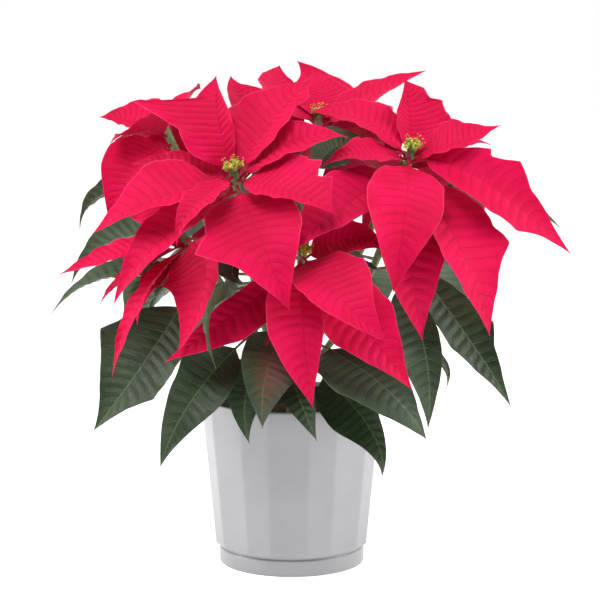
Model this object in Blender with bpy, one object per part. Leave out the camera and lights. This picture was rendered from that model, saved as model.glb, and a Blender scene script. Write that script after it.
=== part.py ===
"""A potted poinsettia: a fluted white pot, the black nursery pot inside it, soil, a forked trunk,
and eight leafy branches that each end in a head of coloured bracts round a cluster of small flowers.

Lengths below are in millimetres, and MM turns them into metres. The origin is the middle of the
pot's foot, +Z is up and -Y is the plant's best side.
"""

import math
import random
from collections import namedtuple

import bmesh
import bpy
import numpy as np
from mathutils import Matrix, Vector
from mathutils.bvhtree import BVHTree

MM = 0.001
GAP = 0.3

# The outer pot: wide and narrow flat flutes by turns, between a round rim and a round foot
POT_HEIGHT = 130.0
RIM_RADIUS = 71.5
RIM_WALL = 2.8
FOOT_RADIUS = 56.5
FOOT_HEIGHT = 13.0
FLUTE_FOOT_RADIUS = 60.3
FLUTE_PAIRS = 8
WIDE_FLUTE_DEG = 26.5
FLUTE_TURN_DEG = -91.8
POT_FLOOR = 5.0

# The nursery pot that stands in it, and its soil
NURSERY_TOP = 127.0
NURSERY_RADIUS = 66.8
NURSERY_FOOT_RADIUS = 50.0
NURSERY_WALL = 1.6
SOIL_TOP = 115.0
ROUND_SIDES = 24

# The woody trunk and its forks
TRUNK_RADIUS = 5.5
TRUNK_ROOT = 55.0
TRUNK_TOP = 153.0
FORK_REACH = 17.0
FORK_RISE_DEG = 48.0
STEM_RADIUS = 2.7
STEM_SIDES = 7
STEM_STEPS = 7

# A head is the coloured end of a branch, with its bracts round it and its flowers on top
HEAD_LENGTH = 26.0
HEAD_RADIUS = 3.4
FLOWER_RING = 5
FLOWER_RADIUS = 2.6
FLOWER_SPREAD = 5.2
FLOWER_LIFT = 5.0

# A blade is a bract or a leaf: a stalk, then a thin folded blade with a drawn-out tip
BLADE_THICKNESS = 0.8
STALK_HALF_WIDTH = 1.25
STALK_THICKNESS = 2.0
TIP_HALF_WIDTH = 0.45
BRACT_STALK = 0.12
LEAF_STALK = 0.26
BLADE_STATIONS = (0.0, 0.12, 0.34, 0.56, 0.78, 1.0)
CURVE_SAMPLES = 49
FOOT_POWER, TIP_POWER = 0.75, 1.2
STATION_ROOM = 0.11

# How far a blade may be bent to clear its neighbours, and how clear of them it ends up
CLEARANCE = 0.9
CROWDED_BRACT_RINGS, CROWDED_LEAF_RINGS = 2, 1
OTHER_NODE_COST = 3
TIP_BENDS = range(0, 49, 4)
MID_BENDS = (0, 5, 10, 15)
SIDE_BENDS = (0, 8, 16)

Blade = namedtuple("Blade", "mid tip width root roll fold lean teeth wave stalk face")
Head = namedtuple("Head", "place axis fork_height bracts ring")


def bract(mid, tip, width, down=8, roll=0, fold=14, lean=0, teeth=(), wave=1.5):
    """A bract that leaves its head `down` below the top. mid and tip are places from the head's top."""
    return Blade(mid, tip, width, down, roll, fold, lean, teeth, wave, BRACT_STALK, None)


def leaf(mid, tip, width, along=0.5, roll=0, fold=16, lean=0, teeth=(), wave=1.0, face=None):
    """A leaf that leaves its branch at the share `along` of its length. mid and tip are places in
    the plant's frame."""
    return Blade(mid, tip, width, along, roll, fold, lean, teeth, wave, LEAF_STALK, face)


# A tooth is (side, share of the blade's length, how far it stands out). Side 1 is on the right of a
# blade seen from its face with its tip away from the eye, and -1 on its left.
# A ring is (azimuths about the axis in degrees, reach, lift of the middle, drop of the tip, width).
HEADS = {
    "front_left": Head(
        (-43, -60, 311),
        (-0.15, -0.55, 0.82),
        140,
        [
            bract((22, -52, -47), (42, -65, -95), 70, 13, 0, 12, 0.05, ((1, 0.5, 16),)),
            bract(
                (41, -36, -11), (77, -50, -28), 46, 9, 0, 12, -0.35,
                ((-1, 0.45, 4), (-1, 0.6, 11), (-1, 0.78, 12)),
            ),
            bract((-51, -28, -16), (-103, -28, -44), 48, 12, 0, 16, 0.25),
            bract((29, 15, 37), (60, 38, 67), 48, 7, 0, 12, -0.35, ((-1, 0.34, 4), (1, 0.78, 8))),
            bract(
                (-11, 15, 35), (-14, 42, 69), 40, 7, 0, 10, -0.5,
                ((-1, 0.56, 24), (-1, 0.7, 46), (-1, 0.86, 0)),
            ),
            bract((-52, -36, -47), (-87, -40, -95), 38, 19, 0, 18, 0.1),
            bract((-27, -44, -29), (-38, -52, -55), 26, 5, 0, 12),
            bract((46, 5, 19), (86, 14, 24), 36, 11, 0, 8, 0, (), 3),
            bract((-38, 6, 8), (-76, 12, 8), 32, 12),
        ],
        (),
    ),
    "right": Head(
        (91, -25, 324),
        (0.2, -0.45, 0.87),
        136,
        [
            bract((-8, -60, -46), (-16, -65, -100), 58, 6, 0, 12, 0.05),
            bract(
                (46, -20, -17), (121, -10, -78), 42, 12, 28, 14, 0.05,
                ((-1, 0.3, 6), (-1, 0.46, 8), (1, 0.64, 5)),
            ),
            bract((-57, -62, -36), (-100, -97, -64), 46, 13, 0, 14, 0.2),
            bract((-2, -51, -74), (8, -47, -137), 54, 21, 0, 12),
            bract((31, -38, -70), (58, -33, -137), 60, 18, 0, 14, -0.15, ((-1, 0.55, 9),)),
            bract((28, -10, 11), (65, 5, 23), 36, 5, 0, 12, -0.4),
            bract((0, 25, 25), (-4, 42, 52), 44, 8, 0, 10, 0.45, ((1, 0.68, 7), (1, 0.85, 6))),
            bract((-33, 10, 22), (-77, 20, 31), 44, 10, 0, 12, 0.25),
            bract((-40, -20, 0), (-70, -22, -12), 28, 9, 0, 12),
            bract((31, 30, 4), (64, 45, 1), 30, 14),
            bract((-12, 3, 7), (-22, 5, 11), 8, 3),
        ],
        (),
    ),
    "low_left": Head(
        (-87, -35, 264),
        (-0.6, -0.4, 0.69),
        130,
        [
            bract((24, -53, -28), (4, -62, -84), 46, 10, 0, 16, 0.35, ((1, 0.5, 4),)),
            bract((-46, -20, -16), (-87, -20, -31), 38, 8, 0, 14, -0.1),
            bract((-25, -39, -46), (-46, -45, -104), 26, 16, 0, 20, -0.3),
            bract((-40, -13, -31), (-57, -15, -54), 38, 13, 20, 20),
            bract((-18, -21, -40), (-29, -20, -69), 28, 20),
            bract((-26, 24, 24), (-54, 42, 28), 40, 9),
            bract((20, 18, 22), (40, 34, 26), 30, 5),
            bract((-16, 6, -12), (-38, 10, -36), 32, 23),
        ],
        (),
    ),
    "low_front": Head(
        (8, -75, 252),
        (0.05, -0.75, 0.66),
        128,
        [
            bract((25, -54, -24), (60, -66, -57), 54, 4, 0, 12, -0.18),
            bract((1, -40, -54), (8, -37, -110), 42, 11, 0, 18, 0.3),
            bract((46, -28, -54), (81, -32, -98), 56, 16, 0, 12),
            bract((-51, -15, -42), (-102, -24, -75), 38, 15, 0, 14, -0.35),
            bract((-12, -32, -34), (-19, -38, -58), 26, 6, 30, 20),
            bract((34, 0, 10), (66, 4, 0), 34, 12),
            bract((-32, 0, 10), (-60, 6, 2), 34, 12),
        ],
        (),
    ),
    "top": Head(
        (21, 45, 344),
        (0.05, 0.12, 0.99),
        153,
        [
            bract((-22, 17, 21), (-31, 45, 40), 56, 6, 0, 12, -0.25),
            bract((3, 26, 24), (-4, 52, 38), 50, 5, 0, 12),
            bract((48, 3, 12), (86, 0, 34), 46, 9, 28),
            bract((-50, 15, 12), (-70, 36, 32), 58, 10, -28, 14, -0.25),
            bract((0, 46, 24), (-16, 70, 46), 62, 9, 0, 14, 0.2),
            bract((38, 40, 8), (62, 76, -4), 50, 13),
            bract((-46, -16, 2), (-84, -24, -16), 46, 14),
            bract((42, -18, -6), (66, -32, -34), 36, 16),
        ],
        ((112, 155), 92, 6, -30, 50),
    ),
    "back_left": Head(
        (-99, 30, 337),
        (-0.45, 0.15, 0.88),
        142,
        [
            bract((-18, 12, 22), (-51, 22, 15), 44, 6, -24, 14, 0.3),
            bract((-19, -25, 1), (-39, -46, -8), 38, 8, 0, 14, 0, ((1, 0.5, 6),)),
            bract((-26, -34, -22), (-38, -48, -72), 52, 14, -60),
            bract((15, 25, 21), (26, 50, 29), 48, 6, 0, 14, -0.1),
        ],
        ((95, 145), 80, 8, -34, 50),
    ),
    "back_right": Head(
        (88, 92, 300),
        (0.42, 0.5, 0.76),
        138,
        [],
        ((10, 48, 90, 128, 168, 215, 300, 345), 92, 12, -30, 52),
    ),
    "back": Head(
        (-42, 112, 292),
        (-0.25, 0.7, 0.67),
        132,
        [],
        ((15, 55, 92, 130, 170, 215, 300), 96, 12, -34, 54),
    ),
}

# The green leaves of each branch that face the best side, or show past it
LEAVES = {
    "front_left": [
        leaf((-70, -90, 149), (-97, -97, 94), 40, 0.3, 0, 24, 0, ((1, 0.34, 5),), face=(0.1, -1, 0.3)),
        leaf((-33, -80, 151), (-31, -90, 111), 34, 0.2, 0, 20, face=(0, -1, 0.2)),
        leaf((-58, -105, 206), (-64, -110, 178), 22, 0.5, 60, 20),
        leaf((-42, -78, 236), (-31, -88, 225), 30, 0.75),
    ],
    "right": [
        leaf((98, -56, 186), (103, -60, 115), 36, 0.65, 0, 16, 0.3, face=(0.2, -1, 0.3)),
        leaf((137, -30, 178), (168, -36, 128), 36, 0.75, 0, 14, 0, ((-1, 0.5, 5),), face=(0.3, -1, 0.4)),
        leaf((154, 12, 285), (208, 8, 262), 38, 0.85, 30),
        leaf((46, -35, 243), (64, -52, 226), 40, 0.6),
    ],
    "low_left": [
        leaf(
            (-114, -54, 162), (-149, -68, 116), 64, 0.9, 0, 14, 0.1, ((1, 0.4, 7), (-1, 0.62, 7)),
            face=(-0.4, -1, 0.4),
        ),
        leaf((-134, -14, 233), (-185, -14, 197), 36, 0.7, 0, 16, face=(0.1, -0.3, 1)),
        leaf((-103, -18, 224), (-108, -22, 192), 30, 0.85),
    ],
    "low_front": [
        leaf((-16, -100, 174), (-21, -107, 126), 48, 0.5, 0, 12, -0.1, face=(0, -1, 0.2)),
        leaf((62, -88, 159), (100, -95, 115), 70, 0.45, 0, 12, 0.28),
        leaf((55, -86, 127), (67, -98, 87), 37, 0.3, 0, 14, 0.3, face=(0, -1, 0.3)),
        leaf((4, -84, 150), (19, -90, 113), 30, 0.1, 0, 14, face=(0, -1, 0.2)),
    ],
    "top": [
        leaf((30, 6, 322), (62, -8, 328), 34, 0.85),
        leaf((-20, 8, 290), (-64, -12, 262), 46, 0.7),
        leaf((58, 26, 286), (98, 22, 250), 44, 0.65),
        leaf((20, -8, 284), (28, -44, 262), 40, 0.55),
        leaf((6, 92, 280), (0, 128, 238), 50, 0.6),
    ],
    "back_left": [
        leaf((-141, 14, 290), (-164, 4, 261), 30, 0.85, 20, 16, 0, ((1, 0.46, 6),)),
        leaf((-135, 34, 251), (-173, 24, 216), 38, 0.6, 25),
        leaf((-104, 72, 226), (-138, 92, 176), 54, 0.45),
        leaf((-66, 70, 262), (-98, 118, 232), 48, 0.7),
    ],
    "back_right": [
        leaf((104, 2, 168), (120, -6, 137), 22, 0.3, 30),
        leaf((110, 78, 218), (136, 92, 160), 56, 0.5),
        leaf((60, 118, 214), (70, 148, 158), 56, 0.4),
        leaf((118, 118, 250), (146, 138, 204), 50, 0.75),
    ],
    "back": [
        leaf((-10, 112, 196), (0, 142, 138), 56, 0.35),
        leaf((-62, 106, 192), (-84, 130, 134), 58, 0.5),
        leaf((-20, 140, 238), (4, 172, 196), 50, 0.75),
        leaf((-100, 96, 226), (-134, 112, 180), 50, 0.55),
    ],
}

COLOURS = {
    "outer_pot": ((0.80, 0.79, 0.81), 0.18),
    "nursery_pot": ((0.015, 0.015, 0.016), 0.45),
    "soil": ((0.035, 0.022, 0.015), 0.95),
    "trunk": ((0.16, 0.13, 0.06), 0.75),
    "branch": ((0.055, 0.10, 0.045), 0.5),
    "bracts": ((0.80, 0.012, 0.075), 0.45),
    "flowers": ((0.45, 0.50, 0.06), 0.5),
}


def unit(vector):
    """The vector at a length of one."""
    vector = np.asarray(vector, float)
    return vector / np.linalg.norm(vector)


def turned(vector, axis, angle):
    """The vector turned about a unit axis."""
    cosine, sine = math.cos(angle), math.sin(angle)
    return vector * cosine + np.cross(axis, vector) * sine + axis * (axis @ vector) * (1 - cosine)


# Branches


def fork_of(head):
    """(the end of the trunk's fork for this head, its direction). The top head follows the trunk."""
    if head.fork_height >= TRUNK_TOP:
        return np.array([0.0, 0.0, TRUNK_TOP]), np.array([0.0, 0.0, 1.0])
    azimuth = math.atan2(head.place[1], head.place[0])
    rise = math.radians(FORK_RISE_DEG)
    outward = np.array(
        [math.cos(azimuth) * math.cos(rise), math.sin(azimuth) * math.cos(rise), math.sin(rise)]
    )
    return np.array([0.0, 0.0, head.fork_height]) + outward * FORK_REACH, outward


def branch_line(head):
    """The four control points of a branch, from just past its fork to just short of its head."""
    fork, outward = fork_of(head)
    axis = unit(head.axis)
    start = fork + outward * GAP
    end = np.array(head.place, float) - axis * (HEAD_LENGTH + GAP)
    pull = 0.36 * np.linalg.norm(end - start)
    return start, start + outward * pull, end - axis * pull, end


def on_branch(head, share):
    """The point at this share of the branch's curve."""
    a, b, c, d = branch_line(head)
    rest = 1 - share
    return a * rest**3 + 3 * b * rest**2 * share + 3 * c * rest * share**2 + d * share**3


# Blades


def outline(share):
    """The half width along the blade, from 0 at its foot to 1 at its widest and 0 at its tip."""
    widest = FOOT_POWER / (FOOT_POWER + TIP_POWER)
    most = widest**FOOT_POWER * (1 - widest) ** TIP_POWER
    return share**FOOT_POWER * (1 - share) ** TIP_POWER / most


def stations_of(blade):
    """The shares at which a blade is cut across. A tooth adds its own in place of a near one."""
    teeth = {place for _, place, _ in blade.teeth}
    kept = [s for s in BLADE_STATIONS if all(abs(s - place) > STATION_ROOM for place in teeth)]
    return sorted(teeth | set(kept))


def reach_of(blade, sign, share):
    """The blade's half width on one side, without its teeth. A lean widens the side it is signed for."""
    return blade.width / 2 * outline(share) * (1 + sign * blade.lean)


def midrib(root, mid, tip, shares):
    """Points and unit tangents at these shares of the length of the arc through root, mid and tip."""
    pull = 2 * mid - (root + tip) / 2
    t = np.linspace(0, 1, CURVE_SAMPLES)[:, None]
    points = root * (1 - t) ** 2 + 2 * pull * t * (1 - t) + tip * t**2
    steps = np.linalg.norm(np.diff(points, axis=0), axis=1)
    length = np.concatenate([[0], np.cumsum(steps)])
    at = np.interp(np.asarray(shares) * length[-1], length, t[:, 0])[:, None]
    points = root * (1 - at) ** 2 + 2 * pull * at * (1 - at) + tip * at**2
    tangents = 2 * (1 - at) * (pull - root) + 2 * at * (tip - pull)
    return points, tangents / np.linalg.norm(tangents, axis=1)[:, None]


def blade_rings(blade, root, mid, tip, face, pad=0.0):
    """Six points round each station: left, rib and right on the upper face, then on the lower one."""
    stations = [0.0] + stations_of(blade)
    shares = [0.0] + [blade.stalk + (1 - blade.stalk) * share for share in stations[1:]]
    points, tangents = midrib(root, mid, tip, shares)
    side = unit(np.cross(tip - root, face))
    rings = []
    for share, point, along in zip(stations, points, tangents):
        across = unit(side - along * (side @ along))
        across = turned(across, along, math.radians(blade.roll))
        up = np.cross(across, along)
        least = TIP_HALF_WIDTH if share == 1 else STALK_HALF_WIDTH
        thickness = BLADE_THICKNESS if share > 0 else STALK_THICKNESS
        upper, lower = [], []
        for sign in (-1, 0, 1):
            teeth = sum(more for *where, more in blade.teeth if where == [sign, share])
            reach = max(reach_of(blade, sign, share), least) + teeth
            ripple = blade.wave * outline(share) * math.sin(7.5 * share + 1.3 * sign + blade.width)
            rise = abs(sign) * (reach * math.tan(math.radians(blade.fold)) + ripple) * (share > 0)
            middle = point + across * sign * reach + up * rise
            upper.append(middle + up * (thickness / 2 + pad))
            lower.append(middle - up * (thickness / 2 + pad))
        rings.append(upper + lower[::-1])
    return rings


def blade_triangles(count):
    """The faces of a blade with this many rings: the same split on its upper and its lower face."""
    faces = []
    for i in range(count - 1):
        a, b = 6 * i, 6 * (i + 1)
        for k in range(6):
            n = (k + 1) % 6
            if k in (3, 4):
                faces += [(a + n, a + k, b + k), (a + n, b + k, b + n)]
            else:
                faces += [(a + k, b + k, b + n), (a + k, b + n, a + n)]
    last = 6 * (count - 1)
    for base, flip in ((0, False), (last, True)):
        for quad in ((0, 1, 4, 5), (1, 2, 3, 4)):
            corners = [base + q for q in quad]
            corners = corners[::-1] if flip else corners
            faces += [(corners[0], corners[1], corners[2]), (corners[0], corners[2], corners[3])]
    return faces


def ring_bracts(head, seed):
    """The bracts that a head's ring rule gives, in the same terms as those placed one by one."""
    if not head.ring:
        return []
    azimuths, reach, lift, drop, width = head.ring
    chance = random.Random(seed)
    axis = unit(head.axis)
    east = unit(np.cross((0, 1, 0), axis))
    north = np.cross(axis, east)
    made = []
    for number, azimuth in enumerate(azimuths):
        angle = math.radians(azimuth + chance.uniform(-5, 5))
        out = east * math.cos(angle) + north * math.sin(angle)
        size = chance.uniform(0.88, 1.1)
        mid = out * reach * size * 0.5 + axis * lift
        tip = out * reach * size * 0.9 + axis * drop * chance.uniform(0.7, 1.3)
        down = 5 + 15 * (number % 2) + chance.uniform(-1, 1)
        made.append(bract(mid, tip, width * size, down, chance.uniform(-12, 12)))
    return made


def placed_blades():
    """(node, blade, root, mid, tip, face) of every bract and leaf, before they are bent clear."""
    found = []
    for seed, (name, head) in enumerate(HEADS.items()):
        axis, top = unit(head.axis), np.array(head.place, float)
        for blade in head.bracts + ring_bracts(head, seed):
            root = top - axis * blade.root
            found.append((f"bracts_{name}", blade, root, top + blade.mid, top + blade.tip, axis))
    for name, leaves in LEAVES.items():
        for blade in leaves:
            root = on_branch(HEADS[name], blade.root)
            mid, tip = np.array(blade.mid, float), np.array(blade.tip, float)
            outward = unit(np.array([mid[0], mid[1], 0.0]))
            face = unit(outward + np.array([0.0, 0.0, 0.9])) if blade.face is None else unit(blade.face)
            found.append((f"branch_{name}", blade, root, mid, tip, face))
    return found


# Bending blades clear of each other


def trees_of(points, blade):
    """(the tree of a whole blade, the tree of the part that has left the crowd at its own root)."""
    corners = [tuple(p) for p in points]
    faces = blade_triangles(len(points) // 6)
    crowded = 6 * (CROWDED_BRACT_RINGS if blade.stalk == BRACT_STALK else CROWDED_LEAF_RINGS)
    outer = [face for face in faces if min(face) >= crowded]
    return [BVHTree.FromPolygons(corners, part, all_triangles=True) for part in (faces, outer)]


def bends():
    """Every (lift of the tip, extra lift of the middle, shift sideways) to try, least first."""
    tried = [
        (tip * up, middle * belly, side * way)
        for tip in TIP_BENDS
        for middle in MID_BENDS
        for side in SIDE_BENDS
        for up in ((1, -1) if tip else (1,))
        for belly in ((1, -1) if middle else (1,))
        for way in ((1, -1) if side else (1,))
    ]
    return sorted(tried, key=lambda bend: bend[0] ** 2 + 2 * bend[1] ** 2 + 1.5 * bend[2] ** 2)


def meetings(node, blade, points, fixed, limit):
    """How many pairs of triangles meet between a blade and what is in place, counted up to a limit."""
    whole, outer = trees_of(points, blade)
    count = 0
    for other, other_whole, other_outer in fixed:
        if other != node:
            count += OTHER_NODE_COST * len(whole.overlap(other_whole))
        elif other_outer:
            count += len(outer.overlap(other_outer))
        if count >= limit:
            break
    return count


def bent_clear(blades, obstacles):
    """Each blade's points, its middle and tip moved the least way that clears what is already in place.

    obstacles holds (node, tree, None) rows. Blades of one node may still meet near their roots.
    """
    fixed = list(obstacles)
    settled = []
    for node, blade, root, mid, tip, face in blades:
        chord = unit(tip - root)
        across = unit(np.cross(chord, face))
        outward = np.cross(across, chord)
        fewest, best = math.inf, (mid, tip)
        for lift, belly, side in bends():
            new_tip = tip + outward * lift + across * side
            new_mid = mid + outward * (lift / 2 + belly) + across * side / 2
            padded = np.concatenate(blade_rings(blade, root, new_mid, new_tip, face, CLEARANCE))
            count = meetings(node, blade, padded, fixed, fewest)
            if count < fewest:
                fewest, best = count, (new_mid, new_tip)
            if count == 0:
                break
        if fewest:
            print(f"{node}: the blade to {tip.round()} still meets its neighbours, {fewest}")
        points = np.concatenate(blade_rings(blade, root, *best, face))
        fixed.append((node, *trees_of(points, blade)))
        settled.append((node, points))
    return settled


# Solids


def clear_scene():
    for item in list(bpy.data.objects):
        bpy.data.objects.remove(item, do_unlink=True)


def collection_named(name):
    made = bpy.data.collections.new(name)
    bpy.context.scene.collection.children.link(made)
    return made


def material_named(name, look):
    colour, roughness = look
    made = bpy.data.materials.new(name)
    made.use_nodes = True
    shader = made.node_tree.nodes["Principled BSDF"]
    shader.inputs["Base Color"].default_value = (*colour, 1)
    shader.inputs["Roughness"].default_value = roughness
    return made


def object_from(bm, name, collection):
    """A closed mesh, in millimetres, as an object in metres with its normals outward."""
    bmesh.ops.recalc_face_normals(bm, faces=bm.faces)
    bmesh.ops.scale(bm, vec=(MM, MM, MM), verts=bm.verts)
    mesh = bpy.data.meshes.new(name)
    bm.to_mesh(mesh)
    bm.free()
    made = bpy.data.objects.new(name, mesh)
    collection.objects.link(made)
    return made


def blade_solid(points, collection):
    """One blade's closed mesh, from the points of its rings."""
    bm = bmesh.new()
    corners = [bm.verts.new(p) for p in points]
    for face in blade_triangles(len(points) // 6):
        bm.faces.new([corners[i] for i in face])
    return object_from(bm, "blade", collection)


def rod(start, end, radius, end_radius, sides, collection):
    """A round rod between two points."""
    start, end = Vector(start), Vector(end)
    bm = bmesh.new()
    bmesh.ops.create_cone(
        bm,
        cap_ends=True,
        segments=sides,
        radius1=radius,
        radius2=end_radius,
        depth=(end - start).length,
    )
    turn = (end - start).to_track_quat("Z", "Y").to_matrix().to_4x4()
    bmesh.ops.transform(bm, matrix=Matrix.Translation((start + end) / 2) @ turn, verts=bm.verts)
    return object_from(bm, "rod", collection)


def stem(head, collection):
    """A branch's bent stem, swept along its curve with flat ends."""
    start, first, second, end = (Vector(p) * MM for p in branch_line(head))
    curve = bpy.data.curves.new("stem", "CURVE")
    curve.dimensions = "3D"
    curve.bevel_depth = STEM_RADIUS * MM
    curve.bevel_resolution = 1
    curve.use_fill_caps = True
    curve.resolution_u = STEM_STEPS
    line = curve.splines.new("BEZIER")
    line.bezier_points.add(1)
    for point, place, before, after in (
        (line.bezier_points[0], start, start * 2 - first, first),
        (line.bezier_points[1], end, second, end * 2 - second),
    ):
        point.handle_left_type = point.handle_right_type = "FREE"
        point.co, point.handle_left, point.handle_right = place, before, after
    swept = bpy.data.objects.new("stem", curve)
    bpy.context.scene.collection.objects.link(swept)
    bpy.context.view_layer.update()
    shape = swept.evaluated_get(bpy.context.evaluated_depsgraph_get())
    mesh = bpy.data.meshes.new_from_object(shape)
    bpy.data.objects.remove(swept, do_unlink=True)
    bm = bmesh.new()
    bm.from_mesh(mesh)
    bmesh.ops.remove_doubles(bm, verts=bm.verts, dist=1e-5)
    bmesh.ops.scale(bm, vec=(1 / MM, 1 / MM, 1 / MM), verts=bm.verts)
    return object_from(bm, "stem", collection)


def lathe(profile, collection, name, sides=ROUND_SIDES):
    """A solid turned about the Z axis. profile holds (radius, height) pairs, from axis to axis."""
    bm = bmesh.new()
    corners = [bm.verts.new((radius, 0, height)) for radius, height in profile]
    edges = [bm.edges.new(pair) for pair in zip(corners, corners[1:])]
    bmesh.ops.spin(
        bm, geom=corners + edges, axis=(0, 0, 1), cent=(0, 0, 0), angle=2 * math.pi, steps=sides
    )
    bmesh.ops.remove_doubles(bm, verts=bm.verts, dist=1e-3)
    return object_from(bm, name, collection)


def fluted_body(collection):
    """The pot's outside above its foot: a frustum with wide and narrow flats by turns."""
    wide, pair = math.radians(WIDE_FLUTE_DEG), 2 * math.pi / FLUTE_PAIRS
    start = math.radians(FLUTE_TURN_DEG) - wide / 2
    angles = [start + pair * i + step for i in range(FLUTE_PAIRS) for step in (0, wide)]
    levels = (
        (FOOT_RADIUS + 0.6, FOOT_HEIGHT),
        (FLUTE_FOOT_RADIUS, FOOT_HEIGHT + 4),
        (RIM_RADIUS, POT_HEIGHT - 1),
        (RIM_RADIUS - 0.8, POT_HEIGHT),
    )
    bm = bmesh.new()
    rings = [
        [bm.verts.new((radius * math.cos(a), radius * math.sin(a), height)) for a in angles]
        for radius, height in levels
    ]
    for lower, upper in zip(rings, rings[1:]):
        for i in range(len(angles)):
            n = (i + 1) % len(angles)
            bm.faces.new((lower[i], lower[n], upper[n], upper[i]))
    bm.faces.new(rings[0])
    bm.faces.new(rings[-1])
    return object_from(bm, "fluted_body", collection)


def combined(body, parts, operation, solver="EXACT"):
    """body joined with, or cut by, every object in a collection, which is then emptied."""
    change = body.modifiers.new("shape", "BOOLEAN")
    change.operand_type = "COLLECTION"
    change.collection = parts
    change.operation = operation
    change.solver = solver
    bpy.context.view_layer.update()
    shape = body.evaluated_get(bpy.context.evaluated_depsgraph_get())
    mesh = bpy.data.meshes.new_from_object(shape)
    body.modifiers.clear()
    body.data = mesh
    for item in list(parts.objects):
        bpy.data.objects.remove(item, do_unlink=True)


def largest_piece(bm):
    """Only the largest of the mesh's separate pieces is kept."""
    left, pieces = set(bm.verts), []
    while left:
        seed = left.pop()
        piece, edge = {seed}, [seed]
        while edge:
            for link in edge.pop().link_edges:
                for vertex in link.verts:
                    if vertex in left:
                        left.discard(vertex)
                        piece.add(vertex)
                        edge.append(vertex)
        pieces.append(piece)
    pieces.sort(key=len)
    for piece in pieces[:-1]:
        bmesh.ops.delete(bm, geom=list(piece), context="VERTS")


def finished(body, name, look, smooth=True, whole=True):
    """The object named, coloured, in a collection of its own, and shaded."""
    body.name = name
    body.data.name = name
    if whole:
        bm = bmesh.new()
        bm.from_mesh(body.data)
        largest_piece(bm)
        bm.to_mesh(body.data)
        bm.free()
    body.data.materials.clear()
    body.data.materials.append(look)
    body.data.polygons.foreach_set("use_smooth", [smooth] * len(body.data.polygons))
    for home in list(body.users_collection):
        home.objects.unlink(body)
    collection_named(f"{name}_parts").objects.link(body)


def build_pots(work):
    """The outer pot, the nursery pot in it, and its soil with a hole for the trunk."""
    outer = fluted_body(work)
    foot = lathe(
        (
            (0, 0),
            (FOOT_RADIUS - 1.5, 0),
            (FOOT_RADIUS, 1.5),
            (FOOT_RADIUS, FOOT_HEIGHT - 1),
            (FOOT_RADIUS - 1, FOOT_HEIGHT + 0.5),
            (0, FOOT_HEIGHT + 0.5),
        ),
        work,
        "foot",
        2 * ROUND_SIDES,
    )
    joined = collection_named("outer_pot_foot")
    joined.objects.link(foot)
    work.objects.unlink(foot)
    combined(outer, joined, "UNION")
    flat_inset = math.cos(math.radians(WIDE_FLUTE_DEG / 2))
    mouth = RIM_RADIUS * flat_inset - RIM_WALL
    hollow = collection_named("outer_pot_cutters")
    inside = lathe(
        (
            (0, POT_FLOOR),
            (FOOT_RADIUS - 3.5, POT_FLOOR),
            (mouth, POT_HEIGHT),
            (mouth, POT_HEIGHT + 5),
            (0, POT_HEIGHT + 5),
        ),
        hollow,
        "inside",
        2 * ROUND_SIDES,
    )
    inside.hide_render = True
    inside.display_type = "WIRE"
    combined(outer, hollow, "DIFFERENCE")
    finished(outer, "outer_pot", material_named("outer_pot", COLOURS["outer_pot"]), False)

    stand = POT_FLOOR + GAP
    floor = stand + NURSERY_WALL
    nursery = lathe(
        (
            (0, stand),
            (NURSERY_FOOT_RADIUS, stand),
            (NURSERY_RADIUS - 2.5, NURSERY_TOP - 6),
            (NURSERY_RADIUS - 1.5, NURSERY_TOP - 6),
            (NURSERY_RADIUS - 1.5, NURSERY_TOP),
            (NURSERY_RADIUS - 3.5, NURSERY_TOP),
            (NURSERY_RADIUS - 3.5 - NURSERY_WALL, NURSERY_TOP - 6),
            (NURSERY_FOOT_RADIUS - NURSERY_WALL, floor),
            (0, floor),
        ),
        work,
        "nursery_pot",
    )
    finished(nursery, "nursery_pot", material_named("nursery_pot", COLOURS["nursery_pot"]))

    # The soil keeps GAP off the nursery pot's wall, whose radius grows evenly from the floor up
    low = NURSERY_FOOT_RADIUS - NURSERY_WALL - 2 * GAP
    high = NURSERY_RADIUS - 3.5 - NURSERY_WALL - 2 * GAP
    share = (SOIL_TOP - floor) / (NURSERY_TOP - 6 - floor)
    soil_rim = low + (high - low) * share
    hole = TRUNK_RADIUS + GAP
    soil = lathe(
        (
            (0, floor + GAP),
            (low, floor + GAP),
            (soil_rim, SOIL_TOP),
            (soil_rim * 0.6, SOIL_TOP + 1.5),
            (hole, SOIL_TOP + 2.5),
            (hole, TRUNK_ROOT - GAP),
            (0, TRUNK_ROOT - GAP),
        ),
        work,
        "soil",
    )
    finished(soil, "soil", material_named("soil", COLOURS["soil"]))


def build_trunk(work, joins):
    trunk = rod((0, 0, TRUNK_ROOT), (0, 0, TRUNK_TOP), TRUNK_RADIUS, TRUNK_RADIUS * 0.6, 10, work)
    for head in HEADS.values():
        end, outward = fork_of(head)
        if head.fork_height < TRUNK_TOP:
            rod(end - outward * (FORK_REACH - 0.5), end, STEM_RADIUS * 1.25, STEM_RADIUS * 1.05, 8, joins)
    combined(trunk, joins, "UNION")
    finished(trunk, "trunk", material_named("trunk", COLOURS["trunk"]))
    return trunk


def build_spindle(head, collection):
    """The core of a head, which its bracts grow from."""
    axis, top = unit(head.axis), np.array(head.place, float)
    return rod(top - axis * HEAD_LENGTH, top, STEM_RADIUS, HEAD_RADIUS, STEM_SIDES, collection)


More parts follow.
